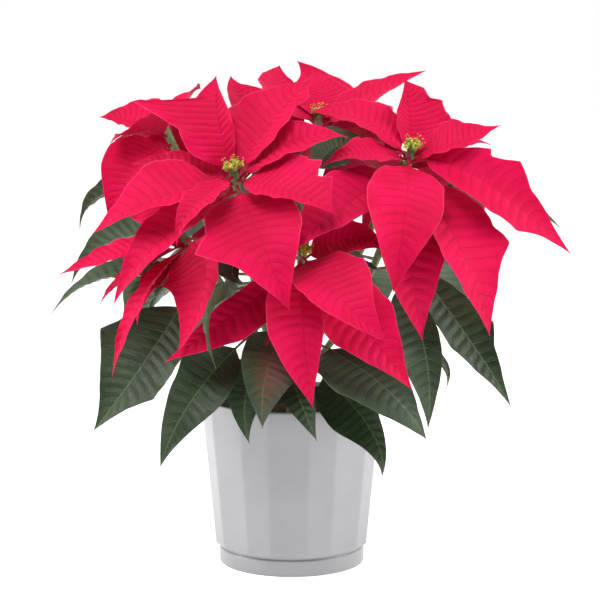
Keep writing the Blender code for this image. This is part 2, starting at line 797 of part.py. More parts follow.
def build_flowers(name, head, work, joins):
    """A cluster of small flowers on a short core, on top of a head."""
    axis, top = unit(head.axis), np.array(head.place, float) + unit(head.axis) * GAP
    core = rod(top, top + axis * FLOWER_LIFT, HEAD_RADIUS * 0.7, HEAD_RADIUS, STEM_SIDES, work)
    east = unit(np.cross((0, 1, 0), axis))
    north = np.cross(axis, east)
    chance = random.Random(name)
    for i in range(FLOWER_RING + 1):
        angle = 2 * math.pi * i / FLOWER_RING
        spread = FLOWER_SPREAD * chance.uniform(0.75, 1.0) if i < FLOWER_RING else 0.0
        out = east * math.cos(angle) + north * math.sin(angle)
        place = top + out * spread + axis * (FLOWER_LIFT + chance.uniform(-0.6, 1.2))
        bm = bmesh.new()
        bmesh.ops.create_icosphere(bm, subdivisions=1, radius=FLOWER_RADIUS)
        bmesh.ops.scale(bm, vec=(1, 1, 1.35), verts=bm.verts)
        turn = Vector(axis + out * 0.5).to_track_quat("Z", "Y").to_matrix().to_4x4()
        bmesh.ops.transform(bm, matrix=Matrix.Translation(place) @ turn, verts=bm.verts)
        object_from(bm, "flower", joins)
    combined(core, joins, "UNION")
    finished(core, f"flowers_{name}", material_named(f"flowers_{name}", COLOURS["flowers"]))
    return core


def tree_from(item):
    """The tree of an object's triangles, in millimetres."""
    bm = bmesh.new()
    bm.from_mesh(item.data)
    bmesh.ops.triangulate(bm, faces=bm.faces)
    bmesh.ops.scale(bm, vec=(1 / MM, 1 / MM, 1 / MM), verts=bm.verts)
    tree = BVHTree.FromBMesh(bm)
    bm.free()
    return tree


def main():
    clear_scene()
    work = collection_named("work")
    joins = collection_named("joins")
    build_pots(work)
    stood_in = ("outer_pot", "nursery_pot", "soil")
    obstacles = [(name, tree_from(bpy.data.objects[name])) for name in stood_in]
    obstacles.append(("trunk", tree_from(build_trunk(work, joins))))
    bodies = {}
    for name, head in HEADS.items():
        obstacles.append((f"flowers_{name}", tree_from(build_flowers(name, head, work, joins))))
        for node, body in (
            (f"branch_{name}", stem(head, work)),
            (f"bracts_{name}", build_spindle(head, work)),
        ):
            bodies[node] = body
            obstacles.append((node, tree_from(body)))
    settled = bent_clear(placed_blades(), [(node, tree, None) for node, tree in obstacles])
    for node, body in bodies.items():
        for owner, points in settled:
            if owner == node:
                blade_solid(points, joins)
        combined(body, joins, "UNION", "MANIFOLD")
        finished(body, node, material_named(node, COLOURS[node.split("_")[0]]), False)
    bpy.data.collections.remove(joins)
    bpy.data.collections.remove(work)


main()
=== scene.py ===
"""The looks of a potted poinsettia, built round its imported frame.

The tables below are the construction's own, in millimetres, so every fine bract and leaf has the
place, bend and outline of the solid it stands for. MM turns lengths into metres. The origin is the
middle of the pot's foot, +Z is up and -Y is the plant's best side.
"""

import math
import random
from collections import namedtuple

import bmesh
import bpy
import numpy as np
from mathutils import Matrix, Vector, noise
from mathutils.kdtree import KDTree

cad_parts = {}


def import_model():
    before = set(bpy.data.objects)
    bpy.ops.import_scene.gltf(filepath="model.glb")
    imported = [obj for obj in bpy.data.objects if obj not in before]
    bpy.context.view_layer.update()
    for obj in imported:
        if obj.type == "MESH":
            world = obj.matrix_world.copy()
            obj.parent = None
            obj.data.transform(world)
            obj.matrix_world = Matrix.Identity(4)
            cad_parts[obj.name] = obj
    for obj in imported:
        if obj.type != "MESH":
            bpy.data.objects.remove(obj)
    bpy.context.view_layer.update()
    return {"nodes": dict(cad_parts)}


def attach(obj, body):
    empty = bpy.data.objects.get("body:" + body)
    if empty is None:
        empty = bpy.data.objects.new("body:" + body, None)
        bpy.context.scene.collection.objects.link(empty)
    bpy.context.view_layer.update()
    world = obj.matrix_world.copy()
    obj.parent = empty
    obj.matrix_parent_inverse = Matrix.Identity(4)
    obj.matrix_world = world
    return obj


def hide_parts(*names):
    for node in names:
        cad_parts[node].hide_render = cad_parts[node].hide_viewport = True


MM = 0.001

# The camera, fitted to the photograph's pot and plant
CAMERA_PLACE = (6.5, -1724.0, 448.0)
CAMERA_TARGET = (6.5, 0.0, 206.0)
CAMERA_LENS = 134.6
SENSOR_WIDTH = 36.0

# The outer pot: wide and narrow flat flutes by turns, between a round rim and a round foot
POT_HEIGHT = 130.0
RIM_RADIUS = 71.5
RIM_WALL = 2.8
FOOT_RADIUS = 56.5
FOOT_HEIGHT = 13.0
FLUTE_FOOT_RADIUS = 60.3
FLUTE_PAIRS = 8
WIDE_FLUTE_DEG = 26.5
FLUTE_TURN_DEG = -91.8
POT_FLOOR = 5.0
POT_SIDES = 720
WALL_ROWS, INSIDE_ROWS = 14, 8
CORNER_SHARPNESS = 210
FOOT_WALL = 3.5
HEEL = 1.6
FOOT_ROUNDING = 1.2
LIP = 1.1
# From the foot ring in to the flutes: (past the foot's radius, above the foot's height)
FOOT_STEP = ((-1.5, 0), (-0.9, 0.5), (0.9, 1.2))

# The nursery pot that stands in it, and its soil
NURSERY_TOP = 127.0
NURSERY_RADIUS = 66.8
NURSERY_FOOT_RADIUS = 50.0
NURSERY_WALL = 1.6
NURSERY_MOUTH = NURSERY_RADIUS - 3.5
NURSERY_COLLAR = 6.0
BEAD = 0.6
# From the wall out to the collar: (short of the rim's radius, above the collar's foot)
COLLAR_STEP = ((2.5, -0.5), (2.3, 0), (1.7, 0.1), (1.5, 0.4))
ROUND_SIDES = 144
SOIL_TOP = 115.0
SOIL_ROWS = 30
SOIL_SEED = 71
MOUND, LUMP_HEIGHT = 2.3, 1.6
CRUMBS = 700
CRUMB_SIZES = ((0.5, 1.9), (0.5, 1.4), (0.35, 0.8))
CRUMB_LIFT = 2.2
PALE_GRAINS = 0.06

# The woody trunk and its forks
GAP = 0.3
TRUNK_RADIUS = 5.5
TRUNK_ROOT = 55.0
TRUNK_TOP = 153.0
FORK_REACH = 17.0
FORK_RISE_DEG = 48.0
STEM_RADIUS = 2.7
TRUNK_ROWS, TRUNK_SIDES = 46, 28
FORK_ROWS = 12
STEM_ROWS, STEM_SIDES = 120, 20
CORE_ROWS = 24
LEAF_SCARS = 5

# A head is the coloured end of a branch, with its bracts round it and its flowers on top
HEAD_LENGTH = 26.0
HEAD_RADIUS = 3.4
FLOWER_RING = 5
FLOWER_SPREAD = 5.2
FLOWER_LIFT = 5.0
CUP_RIBS = 0.045
THREAD_RADIUS = 0.16
# (radius, height) round a cup, the gland on its side, and the tip of a thread
CUP = (
    (0, -3), (0.9, -2.9), (1.7, -2.2), (2.25, -0.9), (2.35, 0.4), (2.1, 1.7),
    (1.6, 2.5), (1.25, 2.75), (1, 2.6), (0.8, 2), (0, 1.6),
)
GLAND = ((0, -0.9), (0.8, -0.7), (1.35, -0.1), (1.5, 0.5), (1.3, 0.85), (1, 0.6), (0.5, 0.1), (0, 0))
PALE_TIP = ((0, -0.4), (0.32, -0.2), (0.36, 0.15), (0, 0.4))

# The construction's blades, whose settled places are read off the frame
STALK_HALF_WIDTH = 1.25
STALK_THICKNESS = 2.0
BLADE_THICKNESS = 0.8
TIP_HALF_WIDTH = 0.45
BRACT_STALK = 0.12
LEAF_STALK = 0.26
BLADE_STATIONS = (0.0, 0.12, 0.34, 0.56, 0.78, 1.0)
CURVE_SAMPLES = 49
FOOT_POWER, TIP_POWER = 0.75, 1.2
STATION_ROOM = 0.11
TIP_BENDS = range(0, 49, 4)
MID_BENDS = (0, 5, 10, 15)
SIDE_BENDS = (0, 8, 16)
SAME_PLACE = 0.05
ENOUGH_CORNERS = 7

# The fine blades: rows and columns, and the relief that the solids leave out
STALK_ROWS = 6
BLADE_ROWS = 84
COLUMNS = np.array([0, 0.04, 0.1, 0.2, 0.32, 0.45, 0.58, 0.72, 0.85, 0.95, 1.0])
BLADE_SHEET = 0.45
STALK_RADIUS, STALK_TAPER = 1.15, 0.75
# A blade is fully open past one part in nine of its length
OPENING = 9
TIP_DRAW = 0.42
TOOTH_SPREAD = 0.14
TOOTH_HOLLOW = 1.35
EDGE_WAVE = 0.9
EDGE_CRIMP = 0.3
EDGE_UNEVENNESS = 0.02
VEIN_COUNT = 15
VEIN_DEPTH = 0.75
VEIN_SLANT, VEIN_BEND = 0.34, 0.2
RIB_FURROW, FURROW_WIDTH = 0.35, 1.3
VEIN_WOBBLE = 0.22
NET_SCALE = 0.62

# The low front leaf that is flushed red between its veins
BLUSHED = {("branch_low_front", 48)}
BLUSH_ALONG, BLUSH_LENGTH = 0.5, 0.26
BLUSH_ACROSS, BLUSH_SPREAD = -0.25, 0.6

# The tones of the white glaze
GLAZE_SHADE = (0.33, 0.33, 0.345)
GLAZE_LIGHT = (0.345, 0.345, 0.36)

# The small flowers' parts: name, colour at the foot and at the top, and roughness
FLOWER_LOOKS = (
    ("green_cups", (0.10, 0.16, 0.02), (0.30, 0.38, 0.05), 0.4),
    ("yellow_glands", (0.62, 0.42, 0.02), (0.85, 0.66, 0.05), 0.3),
    ("red_threads", (0.45, 0.01, 0.015), (0.55, 0.02, 0.02), 0.5),
    ("pale_tips", (0.65, 0.50, 0.06), (0.75, 0.62, 0.12), 0.7),
)

# The room. Its surround brightens from front to back: from, to, and the strength at each
FRONT_FALL = (-0.9, 0.0, 0.05, 1.0)
FLOOR_SIZE = 12000
FLOOR_SHADE = (0.93, 0.93, 0.93)
FLOOR_LIGHT = (0.95, 0.95, 0.95)
FLOOR_GLOW = 0.35
# Each light's name, place, size and power in watts
LIGHTS = (
    ("key", (-450, -800, 1900), (900, 900), 26),
    ("right", (1500, -200, 700), (500, 1300), 17),
    ("left", (-1500, 0, 700), (500, 1300), 17),
)
LIGHT_TARGET = (0, 0, 180)

Blade = namedtuple("Blade", "mid tip width root roll fold lean teeth wave stalk face")
Head = namedtuple("Head", "place axis fork_height ring bracts")
Palette = namedtuple(
    "Palette",
    "deep lit other vein rim blush under under_vein stalk vein_width rib_width shoulder net drawn"
    " rim_share relief gloss specular",
)


def bract(mid, tip, width, down=8, roll=0, fold=14, lean=0, teeth=(), wave=1.5):
    """A bract that leaves its head `down` below the top. mid and tip are places from the head's top."""
    return Blade(mid, tip, width, down, roll, fold, lean, teeth, wave, BRACT_STALK, None)


def leaf(mid, tip, width, along=0.5, roll=0, fold=16, lean=0, teeth=(), wave=1.0, face=None):
    """A leaf that leaves its branch at the share `along` of its length. mid and tip are places in
    the plant's frame."""
    return Blade(mid, tip, width, along, roll, fold, lean, teeth, wave, LEAF_STALK, face)


# A tooth is (side, share of the blade's length, how far it stands out). Side 1 is on the right of a
# blade seen from its face with its tip away from the eye, and -1 on its left.
# A ring is (azimuths about the axis in degrees, reach, lift of the middle, drop of the tip, width).
HEADS = {
    "front_left": Head((-43, -60, 311), (-0.15, -0.55, 0.82), 140, (), [
        bract((22, -52, -47), (42, -65, -95), 70, 13, 0, 12, 0.05, ((1, 0.5, 16),)),
        bract(
            (41, -36, -11), (77, -50, -28), 46, 9, 0, 12, -0.35,
            ((-1, 0.45, 4), (-1, 0.6, 11), (-1, 0.78, 12)),
        ),
        bract((-51, -28, -16), (-103, -28, -44), 48, 12, 0, 16, 0.25),
        bract((29, 15, 37), (60, 38, 67), 48, 7, 0, 12, -0.35, ((-1, 0.34, 4), (1, 0.78, 8))),
        bract(
            (-11, 15, 35), (-14, 42, 69), 40, 7, 0, 10, -0.5,
            ((-1, 0.56, 24), (-1, 0.7, 46), (-1, 0.86, 0)),
        ),
        bract((-52, -36, -47), (-87, -40, -95), 38, 19, 0, 18, 0.1),
        bract((-27, -44, -29), (-38, -52, -55), 26, 5, 0, 12),
        bract((46, 5, 19), (86, 14, 24), 36, 11, 0, 8, 0, (), 3),
        bract((-38, 6, 8), (-76, 12, 8), 32, 12),
    ]),
    "right": Head((91, -25, 324), (0.2, -0.45, 0.87), 136, (), [
        bract((-8, -60, -46), (-16, -65, -100), 58, 6, 0, 12, 0.05),
        bract(
            (46, -20, -17), (121, -10, -78), 42, 12, 28, 14, 0.05,
            ((-1, 0.3, 6), (-1, 0.46, 8), (1, 0.64, 5)),
        ),
        bract((-57, -62, -36), (-100, -97, -64), 46, 13, 0, 14, 0.2),
        bract((-2, -51, -74), (8, -47, -137), 54, 21, 0, 12),
        bract((31, -38, -70), (58, -33, -137), 60, 18, 0, 14, -0.15, ((-1, 0.55, 9),)),
        bract((28, -10, 11), (65, 5, 23), 36, 5, 0, 12, -0.4),
        bract((0, 25, 25), (-4, 42, 52), 44, 8, 0, 10, 0.45, ((1, 0.68, 7), (1, 0.85, 6))),
        bract((-33, 10, 22), (-77, 20, 31), 44, 10, 0, 12, 0.25),
        bract((-40, -20, 0), (-70, -22, -12), 28, 9, 0, 12),
        bract((31, 30, 4), (64, 45, 1), 30, 14),
        bract((-12, 3, 7), (-22, 5, 11), 8, 3),
    ]),
    "low_left": Head((-87, -35, 264), (-0.6, -0.4, 0.69), 130, (), [
        bract((24, -53, -28), (4, -62, -84), 46, 10, 0, 16, 0.35, ((1, 0.5, 4),)),
        bract((-46, -20, -16), (-87, -20, -31), 38, 8, 0, 14, -0.1),
        bract((-25, -39, -46), (-46, -45, -104), 26, 16, 0, 20, -0.3),
        bract((-40, -13, -31), (-57, -15, -54), 38, 13, 20, 20),
        bract((-18, -21, -40), (-29, -20, -69), 28, 20),
        bract((-26, 24, 24), (-54, 42, 28), 40, 9),
        bract((20, 18, 22), (40, 34, 26), 30, 5),
        bract((-16, 6, -12), (-38, 10, -36), 32, 23),
    ]),
    "low_front": Head((8, -75, 252), (0.05, -0.75, 0.66), 128, (), [
        bract((25, -54, -24), (60, -66, -57), 54, 4, 0, 12, -0.18),
        bract((1, -40, -54), (8, -37, -110), 42, 11, 0, 18, 0.3),
        bract((46, -28, -54), (81, -32, -98), 56, 16, 0, 12),
        bract((-51, -15, -42), (-102, -24, -75), 38, 15, 0, 14, -0.35),
        bract((-12, -32, -34), (-19, -38, -58), 26, 6, 30, 20),
        bract((34, 0, 10), (66, 4, 0), 34, 12),
        bract((-32, 0, 10), (-60, 6, 2), 34, 12),
    ]),
    "top": Head((21, 45, 344), (0.05, 0.12, 0.99), 153, ((112, 155), 92, 6, -30, 50), [
        bract((-22, 17, 21), (-31, 45, 40), 56, 6, 0, 12, -0.25),
        bract((3, 26, 24), (-4, 52, 38), 50, 5, 0, 12),
        bract((48, 3, 12), (86, 0, 34), 46, 9, 28),
        bract((-50, 15, 12), (-70, 36, 32), 58, 10, -28, 14, -0.25),
        bract((0, 46, 24), (-16, 70, 46), 62, 9, 0, 14, 0.2),
        bract((38, 40, 8), (62, 76, -4), 50, 13),
        bract((-46, -16, 2), (-84, -24, -16), 46, 14),
        bract((42, -18, -6), (66, -32, -34), 36, 16),
    ]),
    "back_left": Head((-99, 30, 337), (-0.45, 0.15, 0.88), 142, ((95, 145), 80, 8, -34, 50), [
        bract((-18, 12, 22), (-51, 22, 15), 44, 6, -24, 14, 0.3),
        bract((-19, -25, 1), (-39, -46, -8), 38, 8, 0, 14, 0, ((1, 0.5, 6),)),
        bract((-26, -34, -22), (-38, -48, -72), 52, 14, -60),
        bract((15, 25, 21), (26, 50, 29), 48, 6, 0, 14, -0.1),
    ]),
    "back_right": Head(
        (88, 92, 300), (0.42, 0.5, 0.76), 138,
        ((10, 48, 90, 128, 168, 215, 300, 345), 92, 12, -30, 52), [],
    ),
    "back": Head(
        (-42, 112, 292), (-0.25, 0.7, 0.67), 132,
        ((15, 55, 92, 130, 170, 215, 300), 96, 12, -34, 54), [],
    ),
}

# The green leaves of each branch that face the best side, or show past it
LEAVES = {
    "front_left": [
        leaf((-70, -90, 149), (-97, -97, 94), 40, 0.3, 0, 24, 0, ((1, 0.34, 5),), face=(0.1, -1, 0.3)),
        leaf((-33, -80, 151), (-31, -90, 111), 34, 0.2, 0, 20, face=(0, -1, 0.2)),
        leaf((-58, -105, 206), (-64, -110, 178), 22, 0.5, 60, 20),
        leaf((-42, -78, 236), (-31, -88, 225), 30, 0.75),
    ],
    "right": [
        leaf((98, -56, 186), (103, -60, 115), 36, 0.65, 0, 16, 0.3, face=(0.2, -1, 0.3)),
        leaf(
            (137, -30, 178), (168, -36, 128), 36, 0.75, 0, 14, 0, ((-1, 0.5, 5),),
            face=(0.3, -1, 0.4),
        ),
        leaf((154, 12, 285), (208, 8, 262), 38, 0.85, 30),
        leaf((46, -35, 243), (64, -52, 226), 40, 0.6),
    ],
    "low_left": [
        leaf(
            (-114, -54, 162), (-149, -68, 116), 64, 0.9, 0, 14, 0.1, ((1, 0.4, 7), (-1, 0.62, 7)),
            face=(-0.4, -1, 0.4),
        ),
        leaf((-134, -14, 233), (-185, -14, 197), 36, 0.7, 0, 16, face=(0.1, -0.3, 1)),
        leaf((-103, -18, 224), (-108, -22, 192), 30, 0.85),
    ],
    "low_front": [
        leaf((-16, -100, 174), (-21, -107, 126), 48, 0.5, 0, 12, -0.1, face=(0, -1, 0.2)),
        leaf((62, -88, 159), (100, -95, 115), 70, 0.45, 0, 12, 0.28),
        leaf((55, -86, 127), (67, -98, 87), 37, 0.3, 0, 14, 0.3, face=(0, -1, 0.3)),
        leaf((4, -84, 150), (19, -90, 113), 30, 0.1, 0, 14, face=(0, -1, 0.2)),
    ],
    "top": [
        leaf((30, 6, 322), (62, -8, 328), 34, 0.85),
        leaf((-20, 8, 290), (-64, -12, 262), 46, 0.7),
        leaf((58, 26, 286), (98, 22, 250), 44, 0.65),
        leaf((20, -8, 284), (28, -44, 262), 40, 0.55),
        leaf((6, 92, 280), (0, 128, 238), 50, 0.6),
    ],
    "back_left": [
        leaf((-141, 14, 290), (-164, 4, 261), 30, 0.85, 20, 16, 0, ((1, 0.46, 6),)),
        leaf((-135, 34, 251), (-173, 24, 216), 38, 0.6, 25),
        leaf((-104, 72, 226), (-138, 92, 176), 54, 0.45),
        leaf((-66, 70, 262), (-98, 118, 232), 48, 0.7),
    ],
    "back_right": [
        leaf((104, 2, 168), (120, -6, 137), 22, 0.3, 30),
        leaf((110, 78, 218), (136, 92, 160), 56, 0.5),
        leaf((60, 118, 214), (70, 148, 158), 56, 0.4),
        leaf((118, 118, 250), (146, 138, 204), 50, 0.75),
    ],
    "back": [
        leaf((-10, 112, 196), (0, 142, 138), 56, 0.35),
        leaf((-62, 106, 192), (-84, 130, 134), 58, 0.5),
        leaf((-20, 140, 238), (4, 172, 196), 50, 0.75),
        leaf((-100, 96, 226), (-134, 112, 180), 50, 0.55),
    ],
}


def unit(vector):
    """The vector at a length of one."""
    vector = np.asarray(vector, float)
    return vector / np.linalg.norm(vector)


def turned(vector, axis, angle):
    """The vector turned about a unit axis."""
    cosine, sine = math.cos(angle), math.sin(angle)
    return vector * cosine + np.cross(axis, vector) * sine + axis * (axis @ vector) * (1 - cosine)


def across_axis(axis, angle):
    """The direction across a unit axis at this angle round it."""
    east = unit(np.cross((0, 1, 0), axis))
    return east * math.cos(angle) + np.cross(axis, east) * math.sin(angle)


# Branches


def fork_of(head):
    """(the end of the trunk's fork for this head, its direction). The top head follows the trunk."""
    if head.fork_height >= TRUNK_TOP:
        return np.array([0.0, 0.0, TRUNK_TOP]), np.array([0.0, 0.0, 1.0])
    azimuth = math.atan2(head.place[1], head.place[0])
    rise = math.radians(FORK_RISE_DEG)
    outward = np.array(
        [math.cos(azimuth) * math.cos(rise), math.sin(azimuth) * math.cos(rise), math.sin(rise)]
    )
    return np.array([0.0, 0.0, head.fork_height]) + outward * FORK_REACH, outward


def branch_line(head):
    """The four control points of a branch, from just past its fork to just short of its head."""
    fork, outward = fork_of(head)
    axis = unit(head.axis)
    start = fork + outward * GAP
    end = np.array(head.place, float) - axis * (HEAD_LENGTH + GAP)
    pull = 0.36 * np.linalg.norm(end - start)
    return start, start + outward * pull, end - axis * pull, end


def on_branch(head, share):
    """The point at this share of the branch's curve."""
    a, b, c, d = branch_line(head)
    rest = 1 - share
    return a * rest**3 + 3 * b * rest**2 * share + 3 * c * rest * share**2 + d * share**3


# Blades


def outline(share):
    """The half width along the blade, from 0 at its foot to 1 at its widest and 0 at its tip."""
    widest = FOOT_POWER / (FOOT_POWER + TIP_POWER)
    most = widest**FOOT_POWER * (1 - widest) ** TIP_POWER
    return share**FOOT_POWER * (1 - share) ** TIP_POWER / most


def stations_of(blade):
    """The shares at which a blade is cut across. A tooth adds its own in place of a near one."""
    teeth = {place for _, place, _ in blade.teeth}
    kept = [s for s in BLADE_STATIONS if all(abs(s - place) > STATION_ROOM for place in teeth)]
    return sorted(teeth | set(kept))


def reach_of(blade, sign, share):
    """The blade's half width on one side, without its teeth. A lean widens its own side."""
    return blade.width / 2 * outline(share) * (1 + sign * blade.lean)


def midrib(root, mid, tip, shares):
    """Points and unit tangents at these shares of the length of the arc through root, mid and tip."""
    pull = 2 * mid - (root + tip) / 2
    t = np.linspace(0, 1, CURVE_SAMPLES)[:, None]
    points = root * (1 - t) ** 2 + 2 * pull * t * (1 - t) + tip * t**2
    steps = np.linalg.norm(np.diff(points, axis=0), axis=1)
    length = np.concatenate([[0], np.cumsum(steps)])
    at = np.interp(np.asarray(shares) * length[-1], length, t[:, 0])[:, None]
    points = root * (1 - at) ** 2 + 2 * pull * at * (1 - at) + tip * at**2
    tangents = 2 * (1 - at) * (pull - root) + 2 * at * (tip - pull)
    return points, tangents / np.linalg.norm(tangents, axis=1)[:, None]


def blade_rings(blade, root, mid, tip, face):
    """Six points round each station: left, rib and right on the upper face, then on the lower one."""
    stations = [0.0] + stations_of(blade)
    shares = [0.0] + [blade.stalk + (1 - blade.stalk) * share for share in stations[1:]]
    points, tangents = midrib(root, mid, tip, shares)
    side = unit(np.cross(tip - root, face))
    rings = []
    for share, point, along in zip(stations, points, tangents):
        across = unit(side - along * (side @ along))
        across = turned(across, along, math.radians(blade.roll))
        up = np.cross(across, along)
        least = TIP_HALF_WIDTH if share == 1 else STALK_HALF_WIDTH
        thickness = BLADE_THICKNESS if share > 0 else STALK_THICKNESS
        upper, lower = [], []
        for sign in (-1, 0, 1):
            teeth = sum(more for *where, more in blade.teeth if where == [sign, share])
            reach = max(reach_of(blade, sign, share), least) + teeth
            ripple = blade.wave * outline(share) * math.sin(7.5 * share + 1.3 * sign + blade.width)
            rise = abs(sign) * (reach * math.tan(math.radians(blade.fold)) + ripple) * (share > 0)
            middle = point + across * sign * reach + up * rise
            upper.append(middle + up * thickness / 2)
            lower.append(middle - up * thickness / 2)
        rings.append(upper + lower[::-1])
    return rings


def ring_bracts(head, seed):
    """The bracts that a head's ring rule gives, in the same terms as those placed one by one."""
    if not head.ring:
        return []
    azimuths, reach, lift, drop, width = head.ring
    chance = random.Random(seed)
    axis = unit(head.axis)
    made = []
    for number, azimuth in enumerate(azimuths):
        out = across_axis(axis, math.radians(azimuth + chance.uniform(-5, 5)))
        size = chance.uniform(0.88, 1.1)
        mid = out * reach * size * 0.5 + axis * lift
        tip = out * reach * size * 0.9 + axis * drop * chance.uniform(0.7, 1.3)
        down = 5 + 15 * (number % 2) + chance.uniform(-1, 1)
        made.append(bract(mid, tip, width * size, down, chance.uniform(-12, 12)))
    return made


def placed_blades():
    """(node, blade, root, mid, tip, face) of every bract and leaf, before they are bent clear."""
    found = []
    for seed, (name, head) in enumerate(HEADS.items()):
        axis, top = unit(head.axis), np.array(head.place, float)
        for blade in head.bracts + ring_bracts(head, seed):
            root = top - axis * blade.root
            found.append((f"bracts_{name}", blade, root, top + blade.mid, top + blade.tip, axis))
    for name, leaves in LEAVES.items():
        for blade in leaves:
            root = on_branch(HEADS[name], blade.root)
            mid, tip = np.array(blade.mid, float), np.array(blade.tip, float)
            outward = unit(np.array([mid[0], mid[1], 0.0]))
            face = unit(outward + np.array([0.0, 0.0, 0.9])) if blade.face is None else unit(blade.face)
            found.append((f"branch_{name}", blade, root, mid, tip, face))
    return found


# Bending blades clear of each other


def bends():
    """Every (lift of the tip, extra lift of the middle, shift sideways) to try, least first."""
    tried = [
        (tip * up, middle * belly, side * way)
        for tip in TIP_BENDS
        for middle in MID_BENDS
        for side in SIDE_BENDS
        for up in ((1, -1) if tip else (1,))
        for belly in ((1, -1) if middle else (1,))
        for way in ((1, -1) if side else (1,))
    ]
    return sorted(tried, key=lambda bend: bend[0] ** 2 + 2 * bend[1] ** 2 + 1.5 * bend[2] ** 2)


def settled(node_corners, blade, root, mid, tip, face):
    """The (middle, tip) that the construction's bend rule chose, read off the node's own corners."""
    chord = unit(tip - root)
    across = unit(np.cross(chord, face))
    outward = np.cross(across, chord)
    for lift, belly, side in bends():
        new_tip = tip + outward * lift + across * side
        new_mid = mid + outward * (lift / 2 + belly) + across * side / 2
        rings = np.concatenate(blade_rings(blade, root, new_mid, new_tip, face)[-2:])
        found = sum(node_corners.find(Vector(p))[2] < SAME_PLACE for p in rings)
        if found >= ENOUGH_CORNERS:
            return new_mid, new_tip
    raise ValueError(f"no bend of the blade to {tip.round()} matches its solid")


# Fine blades


def tooth_reach(blade, sign, shares):
    """How far the lobes of one side stand out at these shares of the blade."""
    teeth = sorted((place, more) for side, place, more in blade.teeth if side == sign)
    if not teeth:
        return np.zeros_like(shares)
    line = []
    for place, more in teeth:
        if not line or place - line[-1][0] > TOOTH_SPREAD:
            line.append((place - TOOTH_SPREAD, 0.0))
        line.append((place, more))
    line.append((min(line[-1][0] + TOOTH_SPREAD, 1.0), 0.0))
    places, reaches = np.array(line).T
    most = reaches.max()
    return most * (np.interp(shares, places, reaches) / most) ** TOOTH_HOLLOW


def capped(values):
    """The values, held between 0 and 1."""
    return np.clip(values, 0, 1)


def half_width(blade, sign, shares):
    """The fine blade's reach on one side, with its lobes and a small unevenness of its edge."""
    past_middle = capped((shares - 0.5) / 0.5)
    drawn_out = outline(shares) * (1 - TIP_DRAW * past_middle * (shares < 1))
    smooth = blade.width / 2 * drawn_out * (1 + sign * blade.lean)
    uneven = 1 + EDGE_UNEVENNESS * np.sin(31 * shares + sign + blade.width) * (1 - shares)
    least = TIP_HALF_WIDTH * (1 - 0.5 * shares)
    return np.maximum(smooth * uneven, least) + tooth_reach(blade, sign, shares)


def relief_of(blade, rows, columns, reach, slant, chance):
    """(height over the flat sheet, place among the side veins) at every row and column."""
    size, sign = np.abs(columns), np.sign(columns)
    width = outline(rows)
    rise = reach * size * math.tan(math.radians(blade.fold)) * (0.45 + 0.55 * size)
    ripple = blade.wave * width * np.sin(7.5 * rows + 1.3 * sign + blade.width) * size**2
    phase, beat = chance.uniform(0, 6.3), chance.uniform(24, 30)
    flutter = EDGE_WAVE * width * np.sin(beat * rows + phase + 2.0 * sign) * size**4
    flutter += EDGE_CRIMP * width * np.sin(2.3 * beat * rows + 2 * phase + sign) * size**6
    veins = VEIN_COUNT * (rows - (VEIN_SLANT * size + VEIN_BEND * size**4) * slant)
    veins = veins + 0.10 * np.sin(5 * rows + phase) + 0.05 * np.sin(9 * size + phase)
    groove = (0.5 + 0.5 * np.cos(2 * math.pi * veins)) ** 2
    inside = capped(size * 9) * capped((1 - size) * 3.5) * capped((1 - rows) * 6)
    opened = capped(rows * OPENING)
    pads = -VEIN_DEPTH * groove * inside * opened * capped(width * 1.5)
    furrow = -RIB_FURROW * np.exp(-((reach * columns / FURROW_WIDTH) ** 2)) * opened * (1 - rows)
    return (rise + ripple + flutter) * opened + pads + furrow, veins


def ring_faces(rows, ring):
    """The four-cornered faces between rows of points that each go once round."""
    number = np.arange(ring)
    after = (number + 1) % ring
    low = np.arange(rows - 1)[:, None] * ring
    corners = [low + number, low + after, low + ring + after, low + ring + number]
    return np.stack(corners, axis=-1).reshape(-1, 4).tolist()


